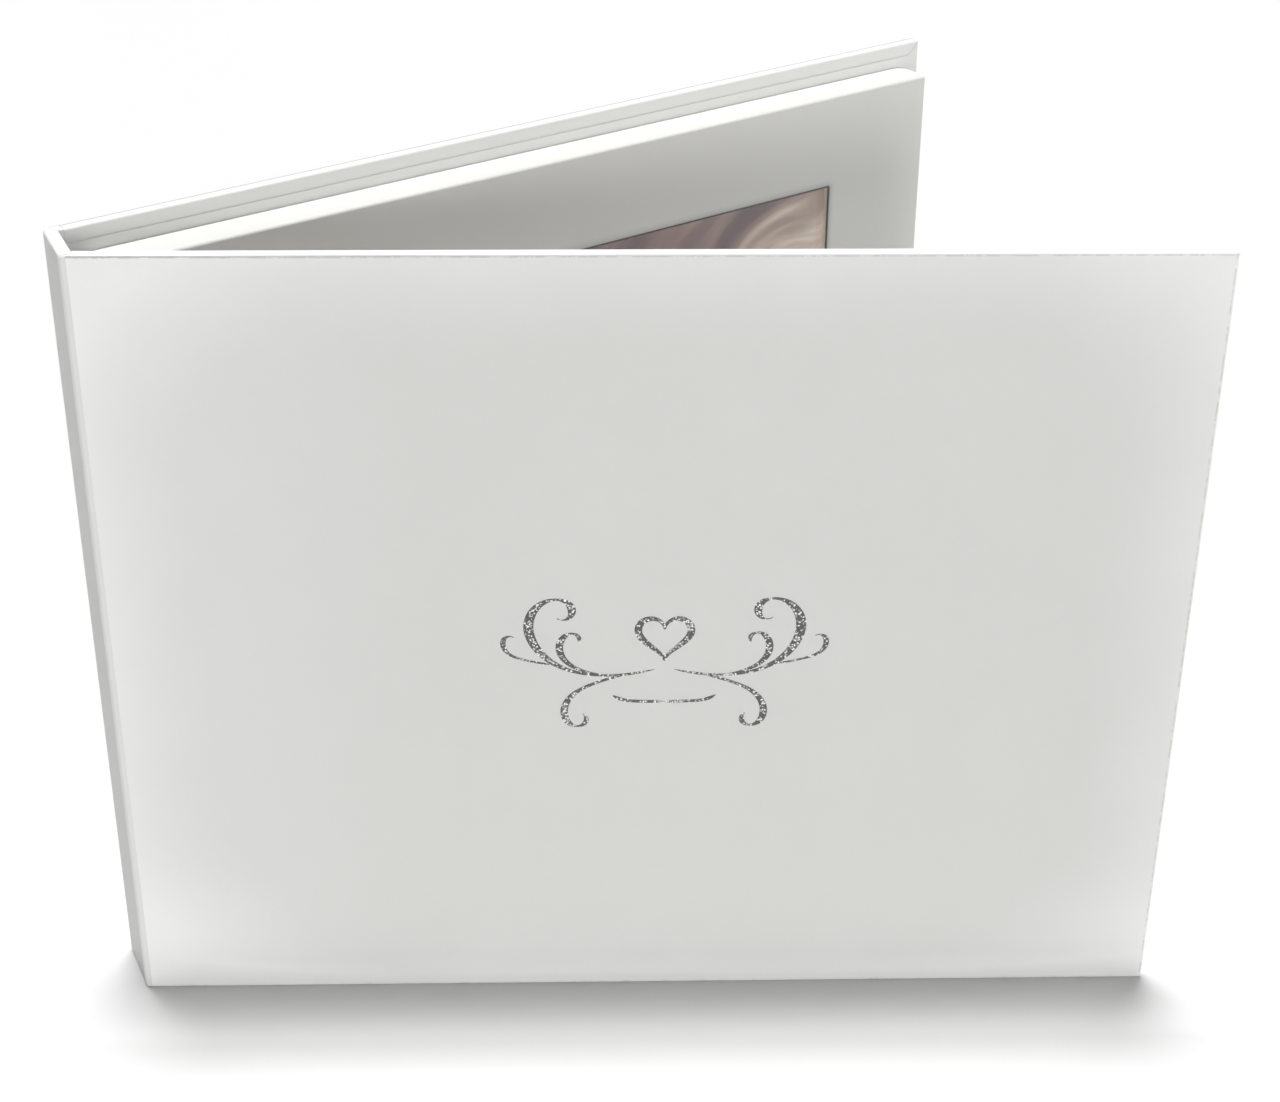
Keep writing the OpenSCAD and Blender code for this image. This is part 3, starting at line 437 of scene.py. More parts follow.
    @classmethod
    def satin_folds(cls) -> Tree:
        """Builds long soft folds of cloth, in coordinates where the picture is about one wide.

        The folds run round a hub outside the picture, which wanders a little. Each layer of folds has its
        strength, its count of folds outwards and round the hub, and its own place in the noise.

        Returns:
            The group's tree.
        """
        g, given, out = cls.start("satin_folds", {"Vector": Socket.VECTOR, "Folds": Socket.VALUE},
                                  {"Level": Socket.VALUE})
        hub_x, hub_z = 0.78, -0.34
        layers = ((1.5, 1.0, 1.3, 0.0), (1.1, 2.7, 2.2, 4.0), (0.5, 8.0, 4.2, 9.0))
        x, _, z = g.split(given["Vector"])
        sway = g.minus(g.noise(g.join(x, 0.0, z), 2.6, detail=1.5), 0.5)
        lift = g.minus(g.noise(g.join(z, 3.0, x), 3.4, detail=1.5), 0.5)
        across = g.times_plus(sway, 0.3, g.minus(x, hub_x))
        up = g.times_plus(lift, 0.26, g.minus(z, hub_z))
        reach = g.length(across, up)
        bearing = g.calc("ARCTAN2", up, across)
        level: Any = 0.5
        for share, run, spread, layer in layers:
            spot = g.join(g.times(reach, g.times(given["Folds"], run)), g.times(bearing, spread), layer)
            fold = g.minus(g.noise(spot, 1.0, rough=0.45), 0.5)
            level = g.times_plus(fold, share, level)
        return cls.end(g, out, {"Level": level})


class Recipe:
    """A material under construction, with its shader and the piece's own coordinates."""

    def __init__(self, name: str) -> None:
        """Starts the material.

        Args:
            name: The material's name.
        """
        self.material = bpy.data.materials.new(name)
        self.graph = Graph.emptied(self.material)
        self.shader = self.graph.add("ShaderNodeBsdfPrincipled")
        self.graph.add("ShaderNodeOutputMaterial", {"Surface": self.shader})
        self.place = self.graph.add("ShaderNodeTexCoord").outputs["Object"]

    def feed(self, values: dict[str, Any]) -> None:
        """Feeds the shader's inputs by name."""
        self.graph.feed_all(self.shader.inputs, values)

    def use(self, effect: str, inputs: dict[str, Any]) -> Any:
        """Places a shared effect on the piece's coordinates.

        Args:
            effect: The effect's name.
            inputs: Values or sockets for its inputs by name.

        Returns:
            Its outputs.
        """
        node = self.graph.add("ShaderNodeGroup", node_tree=Effects.group(effect))
        self.graph.feed_all(node.inputs, {"Vector": self.place, **inputs})
        return node.outputs

    def bump(self, height: Any, depth_mm: float, strength: float = 1.0) -> None:
        """Raises the surface by a height map.

        Args:
            height: Map from 0 to 1.
            depth_mm: Height of the relief.
            strength: Share of the effect.
        """
        node = self.graph.add("ShaderNodeBump", {"Height": height, "Distance": depth_mm * MM,
                                                 "Strength": strength})
        self.feed({"Normal": node})


@dataclass(frozen=True)
class Finish:
    """What every finish has.

    Attributes:
        name: The finish's name.
        slot: Name of a material slot in the record; not used.
        tone: Main colour.
        roughness: Roughness of the surface.
    """

    name: str
    slot: str
    tone: Colour
    roughness: float = 0.5

    def paint(self, recipe: Recipe) -> None:
        """Fills in the recipe's nodes."""
        raise NotImplementedError


@dataclass(frozen=True)
class PaperFinish(Finish):
    """Laminated or plain paper.

    Attributes:
        clouding: How uneven the tone is.
        fibre_scale: Fibres per metre.
        relief: Height of the fibres in millimetres.
        scuffing: Wear along the edges that the book stands on.
        coat: Share of the clear laminate.
    """

    clouding: float = 0.03
    fibre_scale: float = 1500.0
    relief: float = 0.01
    scuffing: float = 0.0
    coat: float = 0.0

    def tone_over(self, recipe: Recipe) -> Any:
        """Returns the paper's tone before fibres are added; subclasses add painted light and shade to it."""
        return self.tone

    def paint(self, recipe: Recipe) -> None:
        """Adds fibres, clouding, scuffs and the laminate.

        Args:
            recipe: The material to fill.
        """
        paper = recipe.use("paper_fibre", {
            "Tone": self.tone_over(recipe), "Clouding": self.clouding, "Fibre Scale": self.fibre_scale,
            "Scuffing": self.scuffing})
        rough = recipe.graph.around(self.roughness, paper["Height"], 0.1)
        rough = recipe.graph.times_plus(paper["Wear"], 0.25, rough)
        recipe.feed({"Base Color": paper["Color"], "Roughness": rough, "Specular IOR Level": 0.25,
                     "Coat Weight": self.coat, "Coat Roughness": 0.32})
        recipe.bump(paper["Height"], self.relief)


@dataclass(frozen=True)
class PaintedLightPaperFinish(PaperFinish):
    """Paper with painted light: a soft grey field that fades to lighter margins and corners, with painted shade
    and highlight lines along its edges.

    Attributes:
        lit_margin_tone: Lighter colour near the leaf's edges, which is painted light.
        centre: Middle of the printed leaf.
        turn: Heading of the leaf's width, in radians.
        half_width: Half the field's width in metres, where the fade is half done.
        half_height: Half the field's height in metres, where the fade is half done.
        corner: Radius of the field's corners in metres.
        feather: Width of the fade in metres.
        wander: How far the fade wanders, as a share of its width.
        edge_shading: Strength of the painted shade and highlight lines along the edges.
        edge_inset: Distance of the painted shade lines from the edges in metres.
        edge_shade_tone: Colour of the painted shade lines.
        tail_highlight_gain: Strength of the painted highlight along the tail, as a multiple of the edge shading's
            strength.
        rim: Strength of the painted shade rim along the head.
        fold_light: Share of the lit margin's tone at the fold, painted light which fades across the leaf.
        fold_fade: Width of that fade in metres.
        tail_light: Share of the lit margin's tone along the tail, painted light.
        tail_fade: Height of that band in metres.
    """

    lit_margin_tone: Colour = WHITE
    centre: Triple = (0.0, 0.0, 0.0)
    turn: float = 0.0
    half_width: float = 0.1075
    half_height: float = 0.084
    corner: float = 0.045
    feather: float = 0.042
    wander: float = 0.28
    edge_shading: float = 0.3
    edge_inset: float = 0.00055
    edge_shade_tone: Colour = (0.36, 0.36, 0.35, 1.0)
    tail_highlight_gain: float = 3.0
    rim: float = 0.0
    fold_light: float = 0.0
    fold_fade: float = 0.07
    tail_light: float = 0.0
    tail_fade: float = 0.009

    def tone_over(self, recipe: Recipe) -> Any:
        """Mixes the field's tone and the lighter margin's tone by a soft panel mask as painted light, and adds
        painted shade and highlight lines at the edges.

        Args:
            recipe: The material under construction.

        Returns:
            The tone that the fibres are added to.
        """
        graph = recipe.graph
        flat = graph.centred(recipe.place, Vector(self.centre), self.turn)
        field = {"Vector": flat, "Half Width": self.half_width, "Half Height": self.half_height}
        # The lighter margin round the grey field is painted light.
        mask = recipe.use("soft_panel", {**field, "Corner": self.corner, "Feather": self.feather,
                                         "Wander": self.wander * self.feather})["Mask"]
        edge_shading = recipe.use("edge_shade_highlight", {**field, "Inset": self.edge_inset})
        x, _, z = graph.split(flat)
        # Bands of painted light along the fold and the tail.
        for part, half, fade, light in ((x, self.half_width, self.fold_fade, self.fold_light),
                                        (z, self.half_height, self.tail_fade, self.tail_light)):
            mask = graph.plus(mask, graph.ramp(part, -half, fade - half, light, 0.0))
        tone = graph.mix(graph.calc("MINIMUM", mask, 1.0), self.tone, self.lit_margin_tone)
        # Painted shade lines at head and fore-edge, a painted shade rim at the head, and a painted highlight along
        # the tail.
        dark = graph.calc("MAXIMUM", graph.times(edge_shading["Dark"], self.edge_shading),
                          graph.times(edge_shading["Rim"], self.rim))
        bright = graph.times(edge_shading["Bright"], min(1.0, self.tail_highlight_gain * self.edge_shading))
        return graph.mix(bright, graph.mix(dark, tone, self.edge_shade_tone), WHITE)


@dataclass(frozen=True)
class WindowPaperFinish(PaperFinish):
    """Paper with a painted shade line at a window's edge and a soft painted shadow round it.

    Attributes:
        shade_line_tone: Colour of the painted shade line.
        centre: Middle of the window.
        half_width: Half the window's width in metres.
        half_height: Half the window's height in metres.
        line_width: Width of the line in metres.
        line_corner: Radius of the line's corners in metres.
        line_feather: Softness of the line in metres.
        shade_width: Width of the shade in metres.
        shade_corner: Radius of the shade's corners in metres.
        shade_feather: Softness of the shade in metres.
        shade_level: Brightness of the shaded paper, as a share of its own.
    """

    shade_line_tone: Colour = (0.1, 0.1, 0.11, 1.0)
    centre: Triple = (0.0, 0.0, 0.0)
    half_width: float = 0.0763
    half_height: float = 0.04215
    line_width: float = 0.00042
    line_corner: float = 0.0005
    line_feather: float = 0.0003
    shade_width: float = 0.001
    shade_corner: float = 0.0014
    shade_feather: float = 0.0022
    shade_level: float = 0.72

    def tone_over(self, recipe: Recipe) -> Any:
        """Paints shade on the paper close to the window.

        Args:
            recipe: The material under construction.

        Returns:
            The tone that the fibres are added to.
        """
        graph = recipe.graph
        flat = graph.centred(recipe.place, Vector(self.centre))

        def beyond(reach: float, corner: float, feather: float) -> Wire:
            """Marks the paper past a distance from the window.

            Args:
                reach: The distance in metres.
                corner: Radius of the mark's corners in metres.
                feather: Width of its soft edge in metres.

            Returns:
                0 up to the distance and 1 past it.
            """
            return recipe.use("soft_panel", {
                "Vector": flat, "Half Width": self.half_width + reach,
                "Half Height": self.half_height + reach, "Corner": corner, "Feather": feather,
                "Wander": 0.0})["Mask"]

        # Painted shade: a dark line at the window's edge and a soft painted shadow beyond it.
        past_line = beyond(self.line_width, self.line_corner, self.line_feather)
        past_shade = beyond(self.shade_width, self.shade_corner, self.shade_feather)
        shaded = graph.mix(past_shade, dimmed(self.tone, self.shade_level), self.tone)
        return graph.mix(past_line, self.shade_line_tone, shaded)


@dataclass(frozen=True)
class FleckFinish(Finish):
    """Pulp board, card, foam or grained plastic.

    Attributes:
        dark: Second colour.
        scale: Flecks per metre.
        relief: Height of the flecks in millimetres.
    """

    dark: Colour = (0.1, 0.1, 0.1, 1.0)
    scale: float = 900.0
    relief: float = 0.02

    def paint(self, recipe: Recipe) -> None:
        """Adds flecks in two tones, with their relief.

        Args:
            recipe: The material to fill.
        """
        flecks = recipe.use("pressed_flecks", {"Light": self.tone, "Dark": self.dark, "Scale": self.scale})
        rough = recipe.graph.around(self.roughness, flecks["Share"], -0.12)
        recipe.feed({"Base Color": flecks["Color"], "Roughness": rough})
        recipe.bump(flecks["Height"], self.relief)


@dataclass(frozen=True)
class MetalFinish(Finish):
    """Rolled, pressed or plated metal.

    Attributes:
        scale: Streaks per metre.
        streaks: How strong the streaks are.
        relief: Height of the streaks in millimetres.
    """

    scale: float = 3000.0
    streaks: float = 0.12
    relief: float = 0.004

    def paint(self, recipe: Recipe) -> None:
        """Adds streaks to the tone, the roughness and the relief.

        Args:
            recipe: The material to fill.
        """
        sheet = recipe.use("rolled_streaks", {"Tone": self.tone, "Scale": self.scale, "Depth": self.streaks})
        rough = recipe.graph.plus(sheet["Roughness"], self.roughness - 0.35)
        recipe.feed({"Base Color": sheet["Color"], "Roughness": rough, "Metallic": 1.0})
        recipe.bump(sheet["Height"], self.relief)


@dataclass(frozen=True)
class CircuitFinish(Finish):
    """Solder mask over copper tracks.

    Attributes:
        track: Colour of the mask over copper.
        track_scale: Loops of track per metre.
        via_scale: Vias per metre.
        weave_scale: Threads of the laminate per metre.
        relief: Height of the copper in millimetres.
    """

    track: Colour = (0.1, 0.35, 0.12, 1.0)
    track_scale: float = 330.0
    via_scale: float = 260.0
    weave_scale: float = 2600.0
    relief: float = 0.03

    def paint(self, recipe: Recipe) -> None:
        """Adds tracks along cell borders, vias and the weave of the laminate.

        Args:
            recipe: The material to fill.
        """
        graph = recipe.graph
        borders = graph.cells(recipe.place, self.track_scale, "DISTANCE_TO_EDGE")
        line = graph.ramp(borders["Distance"], 0.03, 0.05, 1.0, 0.0)
        via = graph.ramp(graph.cells(recipe.place, self.via_scale)["Distance"], 0.1, 0.14, 1.0, 0.0)
        weave = recipe.use("pressed_flecks", {"Light": self.tone, "Dark": self.tone,
                                              "Scale": self.weave_scale})
        copper = graph.calc("MAXIMUM", line, via)
        recipe.feed({"Base Color": graph.mix(copper, weave["Color"], self.track),
                     "Roughness": graph.times_plus(weave["Share"], 0.15, self.roughness - 0.08),
                     "Coat Weight": 0.4, "Coat Roughness": 0.15})
        recipe.bump(copper, self.relief)


@dataclass(frozen=True)
class FoilFinish(Finish):
    """Glitter foil: grains of two tones.

    Attributes:
        bright: Colour of the bright grains.
        share: Share of bright grains.
        metal: Metallic part of the foil.
        scale: Grains per metre.
        relief: Height of the grains in millimetres.
    """

    bright: Colour = (0.9, 0.9, 0.9, 1.0)
    share: float = 0.15
    metal: float = 0.4
    scale: float = 2600.0
    relief: float = 0.03

    def paint(self, recipe: Recipe) -> None:
        """Adds the grains, their gloss and their tilt.

        Args:
            recipe: The material to fill.
        """
        grains = recipe.use("foil_grains", {"Dark": self.tone, "Bright": self.bright, "Scale": self.scale,
                                            "Bright Share": self.share})
        recipe.feed({"Base Color": grains["Color"], "Roughness": grains["Roughness"], "Metallic": self.metal})
        recipe.bump(grains["Height"], self.relief, 0.7)


@dataclass(frozen=True)
class ScreenFinish(Finish):
    """Glossy display glass that shows folds of taupe satin.

    Attributes:
        centre: Middle of the lit area.
        width: Width of the lit area in metres.
        height: Height of the lit area in metres.
        strength: Brightness of the picture.
        folds: Folds of satin across the picture.
        lights: Wide changes of brightness: the places across the picture, counted in widths from its middle,
            where each starts and ends, and what it adds there.
        tones: The satin's colours by brightness.
        border: Softness of the picture's edge, in widths.
    """

    centre: Triple = (0.0, 0.0, 0.0)
    width: float = 0.154
    height: float = 0.086
    strength: float = 1.0
    folds: float = 7.5
    lights: tuple[tuple[float, float, float, float], ...] = ((-0.03, 0.06, -0.06, -0.36),
                                                             (0.12, 0.34, 0.0, 0.3))
    tones: tuple[tuple[float, str], ...] = (
        (0.0, "3a2426"), (0.2, "553b3b"), (0.34, "6d564c"), (0.46, "877265"), (0.58, "a39384"),
        (0.7, "bdae9f"), (0.86, "ddd0c0"))
    border: float = 0.001

    def paint(self, recipe: Recipe) -> None:
        """Adds the lit picture inside a dark border.

        Args:
            recipe: The material to fill.
        """
        graph = recipe.graph
        spot = graph.centred(recipe.place, Vector(self.centre), 0.0, self.width)
        level = recipe.use("satin_folds", {"Vector": spot, "Folds": self.folds})["Level"]
        x, _, z = graph.split(spot)
        for low, high, start, end in self.lights:
            level = graph.plus(level, graph.ramp(x, low, high, start, end))
        satin = graph.add("ShaderNodeValToRGB", {0: level})
        stops = satin.color_ramp.elements
        while len(stops) < len(self.tones):
            stops.new(1.0)
        for stop, (place, code) in zip(stops, self.tones):
            stop.position = place
            stop.color = colour(code)
        inside = [graph.ramp(graph.calc("ABSOLUTE", part), half - self.border, half, 1.0, 0.0)
                  for part, half in ((x, 0.5), (z, 0.5 * self.height / self.width))]
        lit = graph.mix(graph.times(*inside), BLACK, satin)
        dust = graph.noise(recipe.place, 300.0, detail=3.0)
        recipe.feed({"Base Color": self.tone, "Emission Color": lit, "Emission Strength": self.strength,
                     "Roughness": graph.ramp(dust, 0.3, 0.8, self.roughness, self.roughness + 0.06)})


@dataclass(frozen=True)
class FilmFinish(Finish):
    """Thin clear film.

    Attributes:
        opacity: Alpha of the film.
    """

    opacity: float = 0.06

    def paint(self, recipe: Recipe) -> None:
        """Adds a faint haze to the film's alpha and gloss.

        Args:
            recipe: The material to fill.
        """
        haze = recipe.graph.noise(recipe.place, 60.0, detail=4.0, rough=0.6)
        recipe.feed({"Base Color": self.tone, "IOR": 1.49,
                     "Roughness": recipe.graph.ramp(haze, 0.3, 0.7, self.roughness, self.roughness + 0.05),
                     "Alpha": recipe.graph.ramp(haze, 0.3, 0.7, self.opacity, self.opacity + 0.03)})


@dataclass(frozen=True)
class PlasticFinish(Finish):
    """Moulded plastic, rubber or lacquer.

    Attributes:
        grain_scale: Grains per metre.
        relief: Height of the grain in millimetres.
        coat: Share of a glossy skin.
    """

    grain_scale: float = 4000.0
    relief: float = 0.006
    coat: float = 0.0

    def paint(self, recipe: Recipe) -> None:
        """Adds moulded grain to the tone, the roughness and the relief.

        Args:
            recipe: The material to fill.
        """
        grain = recipe.use("pressed_flecks", {"Light": self.tone, "Dark": dimmed(self.tone, 0.82),
                                              "Scale": self.grain_scale})
        rough = recipe.graph.around(self.roughness, grain["Share"], 0.14)
        recipe.feed({"Base Color": grain["Color"], "Roughness": rough, "Coat Weight": self.coat,
                     "Coat Roughness": 0.12})
        recipe.bump(grain["Height"], self.relief)


@dataclass(frozen=True)
class LeafPlan:
    """Plan of one leaf: X runs from its fold to its fore-edge, and depth from its outer face inwards.

    Attributes:
        fold: Foot of the fold line.
        along: Direction of X.
        inward: Direction of depth.
    """

    fold: Vector
    along: Vector
    inward: Vector

    def at(self, x: float, depth: float, z: float) -> Vector:
        """Returns a point of the plan, given in millimetres, in the row frame."""
        return self.fold + MM * (x * self.along + depth * self.inward + z * UP)

    @property
    def heading(self) -> float:
        """Angle of the leaf's X axis about Z."""
        return math.atan2(self.along.y, self.along.x)

    def face_matrix(self, x: float, z: float) -> Matrix:
        """Finds what lays a flat drawing on the outer face.

        Args:
            x: Place of the drawing's origin across the leaf, in millimetres.
            z: Its height in millimetres.

        Returns:
            The transform from the drawing to the row frame.
        """
        matrix = Matrix((self.along, UP, -self.inward)).transposed().to_4x4()
        matrix.translation = self.at(x, 0.0, z)
        return matrix


@dataclass(frozen=True)
class OpenBook:
    """Where the three leaves of the open book stand.

    Attributes:
        rear_open: Angle that the spine is opened from square, in degrees.
        front_open: Angle that the front cover is opened from square, in degrees.
    """

    rear_open: float = 12.0
    front_open: float = 22.5

    def fold(self, joint: str) -> Vector:
        """Returns the foot of a fold from the frame's joints."""
        return Vector(next(j["pos_m"] for j in frame["joints"] if j["name"] == joint))

    @property
    def back(self) -> LeafPlan:
        """Plan of the back cover."""
        return LeafPlan(self.fold("rear_fold"), Vector((1.0, 0.0, 0.0)), Vector((0.0, -1.0, 0.0)))

    def turned(self, joint: str, degrees: float) -> LeafPlan:
        """Plans a leaf that is turned out of the back cover's plane.

        Args:
            joint: The fold that it starts from.
            degrees: Angle of its width from the back cover's.

        Returns:
            The leaf's plan.
        """
        turn = math.radians(degrees)
        along = Vector((math.cos(turn), -math.sin(turn), 0.0))
        return LeafPlan(self.fold(joint), along, Vector((-along.y, along.x, 0.0)))

    @property
    def spine(self) -> LeafPlan:
        """Plan of the spine."""
        return self.turned("rear_fold", 90.0 + self.rear_open)

    @property
    def front(self) -> LeafPlan:
        """Plan of the front cover."""
        return self.turned("front_fold", self.rear_open + self.front_open)


def new_piece(name: str, points: Sequence[Vector], faces: Sequence[Sequence[int]]) -> Piece:
    """Makes a mesh piece with its faces turned outwards.

    Args:
        name: The piece's name.
        points: Its corners in the row frame.
        faces: Corner numbers of each face.

    Returns:
        The piece, linked to the scene.
    """
    mesh = bpy.data.meshes.new(name)
    mesh.from_pydata([tuple(p) for p in points], [], [tuple(f) for f in faces])
    work = bmesh.new()
    work.from_mesh(mesh)
    bmesh.ops.remove_doubles(work, verts=work.verts, dist=SAME_POINT)
    bmesh.ops.recalc_face_normals(work, faces=work.faces)
    work.to_mesh(mesh)
    work.free()
    return link(name, mesh)


def link(name: str, data: bpy.types.ID) -> Piece:
    """Puts a mesh, lamp or camera in the scene.

    Args:
        name: The object's name.
        data: What it shows.

    Returns:
        The object.
    """
    piece = bpy.data.objects.new(name, data)
    bpy.context.scene.collection.objects.link(piece)
    return piece


def closed_rings(count: int, rings: int = 2, first: int = 0) -> list[list[int]]:
    """Lists the faces of a closed form made of rings of corners.

    Args:
        count: Corners in each ring.
        rings: How many rings there are.
        first: Number of the first corner.

    Returns:
        Corner numbers of the faces between the rings, and then of the two ends.
    """
    starts = [first + ring * count for ring in range(rings)]
    walls = [[a + i, a + (i + 1) % count, b + (i + 1) % count, b + i]
             for a, b in zip(starts, starts[1:]) for i in range(count)]
    return walls + [[start + i for i in range(count)] for start in (starts[0], starts[-1])]


def merged_copy(node: str, name: str, flat_angle: float = 0.5) -> Piece:
    """Copies a node's solid, joins its loose triangles and clears edges inside flat faces.

    Args:
        node: The CAD node.
        name: The new piece's name.
        flat_angle: Largest angle in degrees between faces that are joined into one.

    Returns:
        The piece, in place.
    """
    mesh = frame["nodes"][node].data.copy()
    work = bmesh.new()
    work.from_mesh(mesh)
    bmesh.ops.remove_doubles(work, verts=work.verts, dist=WELD)
    bmesh.ops.dissolve_limit(work, angle_limit=math.radians(flat_angle), verts=work.verts, edges=work.edges)
    work.to_mesh(mesh)
    work.free()
    mesh.name = name
    mesh.materials.clear()
    return link(name, mesh)


def settled(piece: Piece) -> Piece:
    """Turns a piece's modifiers into plain mesh and removes them.

    Args:
        piece: The piece with its modifiers.

    Returns:
        The same piece.
    """
    bpy.context.view_layer.update()
    evaluated = piece.evaluated_get(bpy.context.evaluated_depsgraph_get())
    mesh = bpy.data.meshes.new_from_object(evaluated)
    piece.modifiers.clear()
    piece.data = mesh
    return piece


def rounded_light(piece: Piece, angle: float = 32.0) -> Piece:
    """Smooths a piece's shading over edges blunter than an angle, and keeps its flat faces flat.

    Args:
        piece: The piece to shade.
        angle: Sharpest angle that still looks smooth, in degrees.

    Returns:
        The same piece.
    """
    piece.data.shade_smooth()
    piece.data.set_sharp_from_angle(angle=math.radians(angle))
    weigh = piece.modifiers.new("weigh", "WEIGHTED_NORMAL")
    weigh.keep_sharp = True
    return settled(piece)


def without_box(piece: Piece, corners: Iterable[Vector]) -> Piece:
    """Cuts a box out of a piece.

    Args:
        piece: The piece to cut.
        corners: The box's eight corners in the row frame.

    Returns:
        The same piece.
    """
    work = bmesh.new()
    for corner in corners:
        work.verts.new(corner)
    bmesh.ops.convex_hull(work, input=work.verts)
    mesh = bpy.data.meshes.new("cutter")
    work.to_mesh(mesh)
    work.free()
    cutter = link("cutter", mesh)
    cut = piece.modifiers.new("cut", "BOOLEAN")
    cut.operation = "DIFFERENCE"
    cut.solver = "EXACT"
    cut.object = cutter
    settled(piece)
    bpy.data.objects.remove(cutter)
    return piece


class Workshop:
    """Dresses pieces and parents most of them to empties of their bodies."""

    def __init__(self) -> None:
        """Starts with no materials, and looks up which body each node rides."""
        self.materials: dict[str, bpy.types.Material] = {}
        bodies = frame["record"]["behaviour"]["bodies"]
        self.body_of = {node: body for body, nodes in bodies.items() for node in nodes}

    def material(self, finish: Finish) -> bpy.types.Material:
        """Finds a finish's material, and paints it the first time it is asked for.

        Args:
            finish: The finish.

        Returns:
            Its material.
        """
        if finish.name not in self.materials:
            recipe = Recipe(finish.name)
            finish.paint(recipe)
            self.materials[finish.name] = recipe.material
        return self.materials[finish.name]

    def dress_nodes(self, finish: Finish, *nodes: str) -> None:
        """Gives CAD nodes their finish.

        Args:
            finish: The finish.
            nodes: The nodes' names.
        """
        material = self.material(finish)
        for node in nodes:
            piece = frame["nodes"][node]
            if not piece.material_slots:
                piece.data.materials.append(material)
            for slot in piece.material_slots:
                slot.material = material
            log.info("%s dressed in %s", node, finish.name)

    def dress(self, piece: Piece, finish: Finish) -> Piece:
        """Gives a new piece its finish.

        Args:
            piece: The piece.
            finish: Its finish.

        Returns:
            The same piece.
        """
        piece.data.materials.clear()
        piece.data.materials.append(self.material(finish))
        for polygon in piece.data.polygons:
            polygon.material_index = 0
        return piece

    def hand_in(self, piece: Piece, finish: Finish, body: str, *nodes: str) -> Piece:
        """Dresses a piece, lets it ride a body, and hides the CAD nodes that it replaces.

        Args:
            piece: The finished mesh.
            finish: Its finish.
            body: The body that carries it.
            nodes: CAD nodes that it replaces.

        Returns:
            The piece.
        """
        self.dress(piece, finish)
        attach(piece, body)
        if nodes:
            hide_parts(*nodes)
        log.info("%s rides %s: %d faces", piece.name, body, len(piece.data.polygons))
        return piece

    def hand_in_bend(self, piece: Piece, finish: Finish, bodies: tuple[str, str],
                     ends: tuple[Vector, Vector], *nodes: str) -> Piece:
        """Dresses a piece that spans two bodies, and leaves it in place without attaching it to either.

        Args:
            piece: The finished mesh.
            finish: Its finish.
            bodies: The two bodies.
            ends: Not used.
            nodes: CAD nodes that it replaces.

        Returns:
            The piece.
        """
        self.dress(piece, finish)
        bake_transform(piece)
        if nodes:
            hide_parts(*nodes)
        log.info("%s bends between %s and %s: %d faces", piece.name, *bodies, len(piece.data.polygons))
        return piece

    def smooth_node(self, node: str, finish: Finish, angle: float = 32.0) -> Piece:
        """Replaces a node by a smoothly shaded copy of itself, named after it."""
        piece = rounded_light(merged_copy(node, f"{node}_form"), angle)
        return self.hand_in(piece, finish, self.body_of[node], node)


@dataclass
class SubAssembly:
    """What every sub-assembly has.

    Attributes:
        shop: Where its pieces are handed in.
    """

    shop: Workshop


@dataclass(frozen=True)
class CornerPath:
    """Path round the corner between two leaves, at one depth below their outer faces.

    Attributes:
        first: Plan of the leaf where the path starts.
        second: Plan of the leaf where it ends.
        depth: Depth of the path in millimetres.
        radius: Radius of its corner in millimetres.
        reach: Distance of its ends from the fold line in millimetres.
    """

    first: LeafPlan
    second: LeafPlan
    depth: float
    radius: float
    reach: tuple[float, float]

    def stations(self, arc_steps: int = 12, flat_steps: int = 2) -> list[tuple[Vector, Vector]]:
        """Returns points of the path with the outward direction at each.

        Args:
            arc_steps: Steps round the corner.
            flat_steps: Steps along each leaf.

        Returns:
            Foot points in the row frame, with unit vectors.
        """
        normal_0, normal_1 = -self.first.inward, -self.second.inward
        half = self.first.along.angle(self.second.along) / 2
        middle = (self.first.along + self.second.along).normalized()
        from_fold = (self.depth + self.radius) / math.sin(half)
        centre = self.first.fold + middle * (from_fold * MM)
        tangent = (self.depth + self.radius) / math.tan(half)
        path = []
        for i in range(flat_steps):
            x = self.reach[0] + (tangent - self.reach[0]) * i / flat_steps
            path.append((self.first.at(x, self.depth, 0.0), normal_0))
        for i in range(arc_steps + 1):
            normal = normal_0.slerp(normal_1, i / arc_steps)
            path.append((centre + normal * (self.radius * MM), normal))
        for i in range(1, flat_steps + 1):
            x = tangent + (self.reach[1] - tangent) * i / flat_steps
            path.append((self.second.at(x, self.depth, 0.0), normal_1))
        return path

    def swept(self, name: str, outline: Sequence[Point], **steps: int) -> Piece:
        """Sweeps an upright outline along the path.

        Args:
            name: The piece's name.
            outline: Closed outline of depths past the path, inwards, and heights, in millimetres.
            steps: Counts for stations.

        Returns:
            The closed piece.
        """
        path = self.stations(**steps)
        points = [foot - normal * (depth * MM) + z * MM * UP for foot, normal in path for depth, z in outline]
        return new_piece(name, points, closed_rings(len(outline), len(path)))


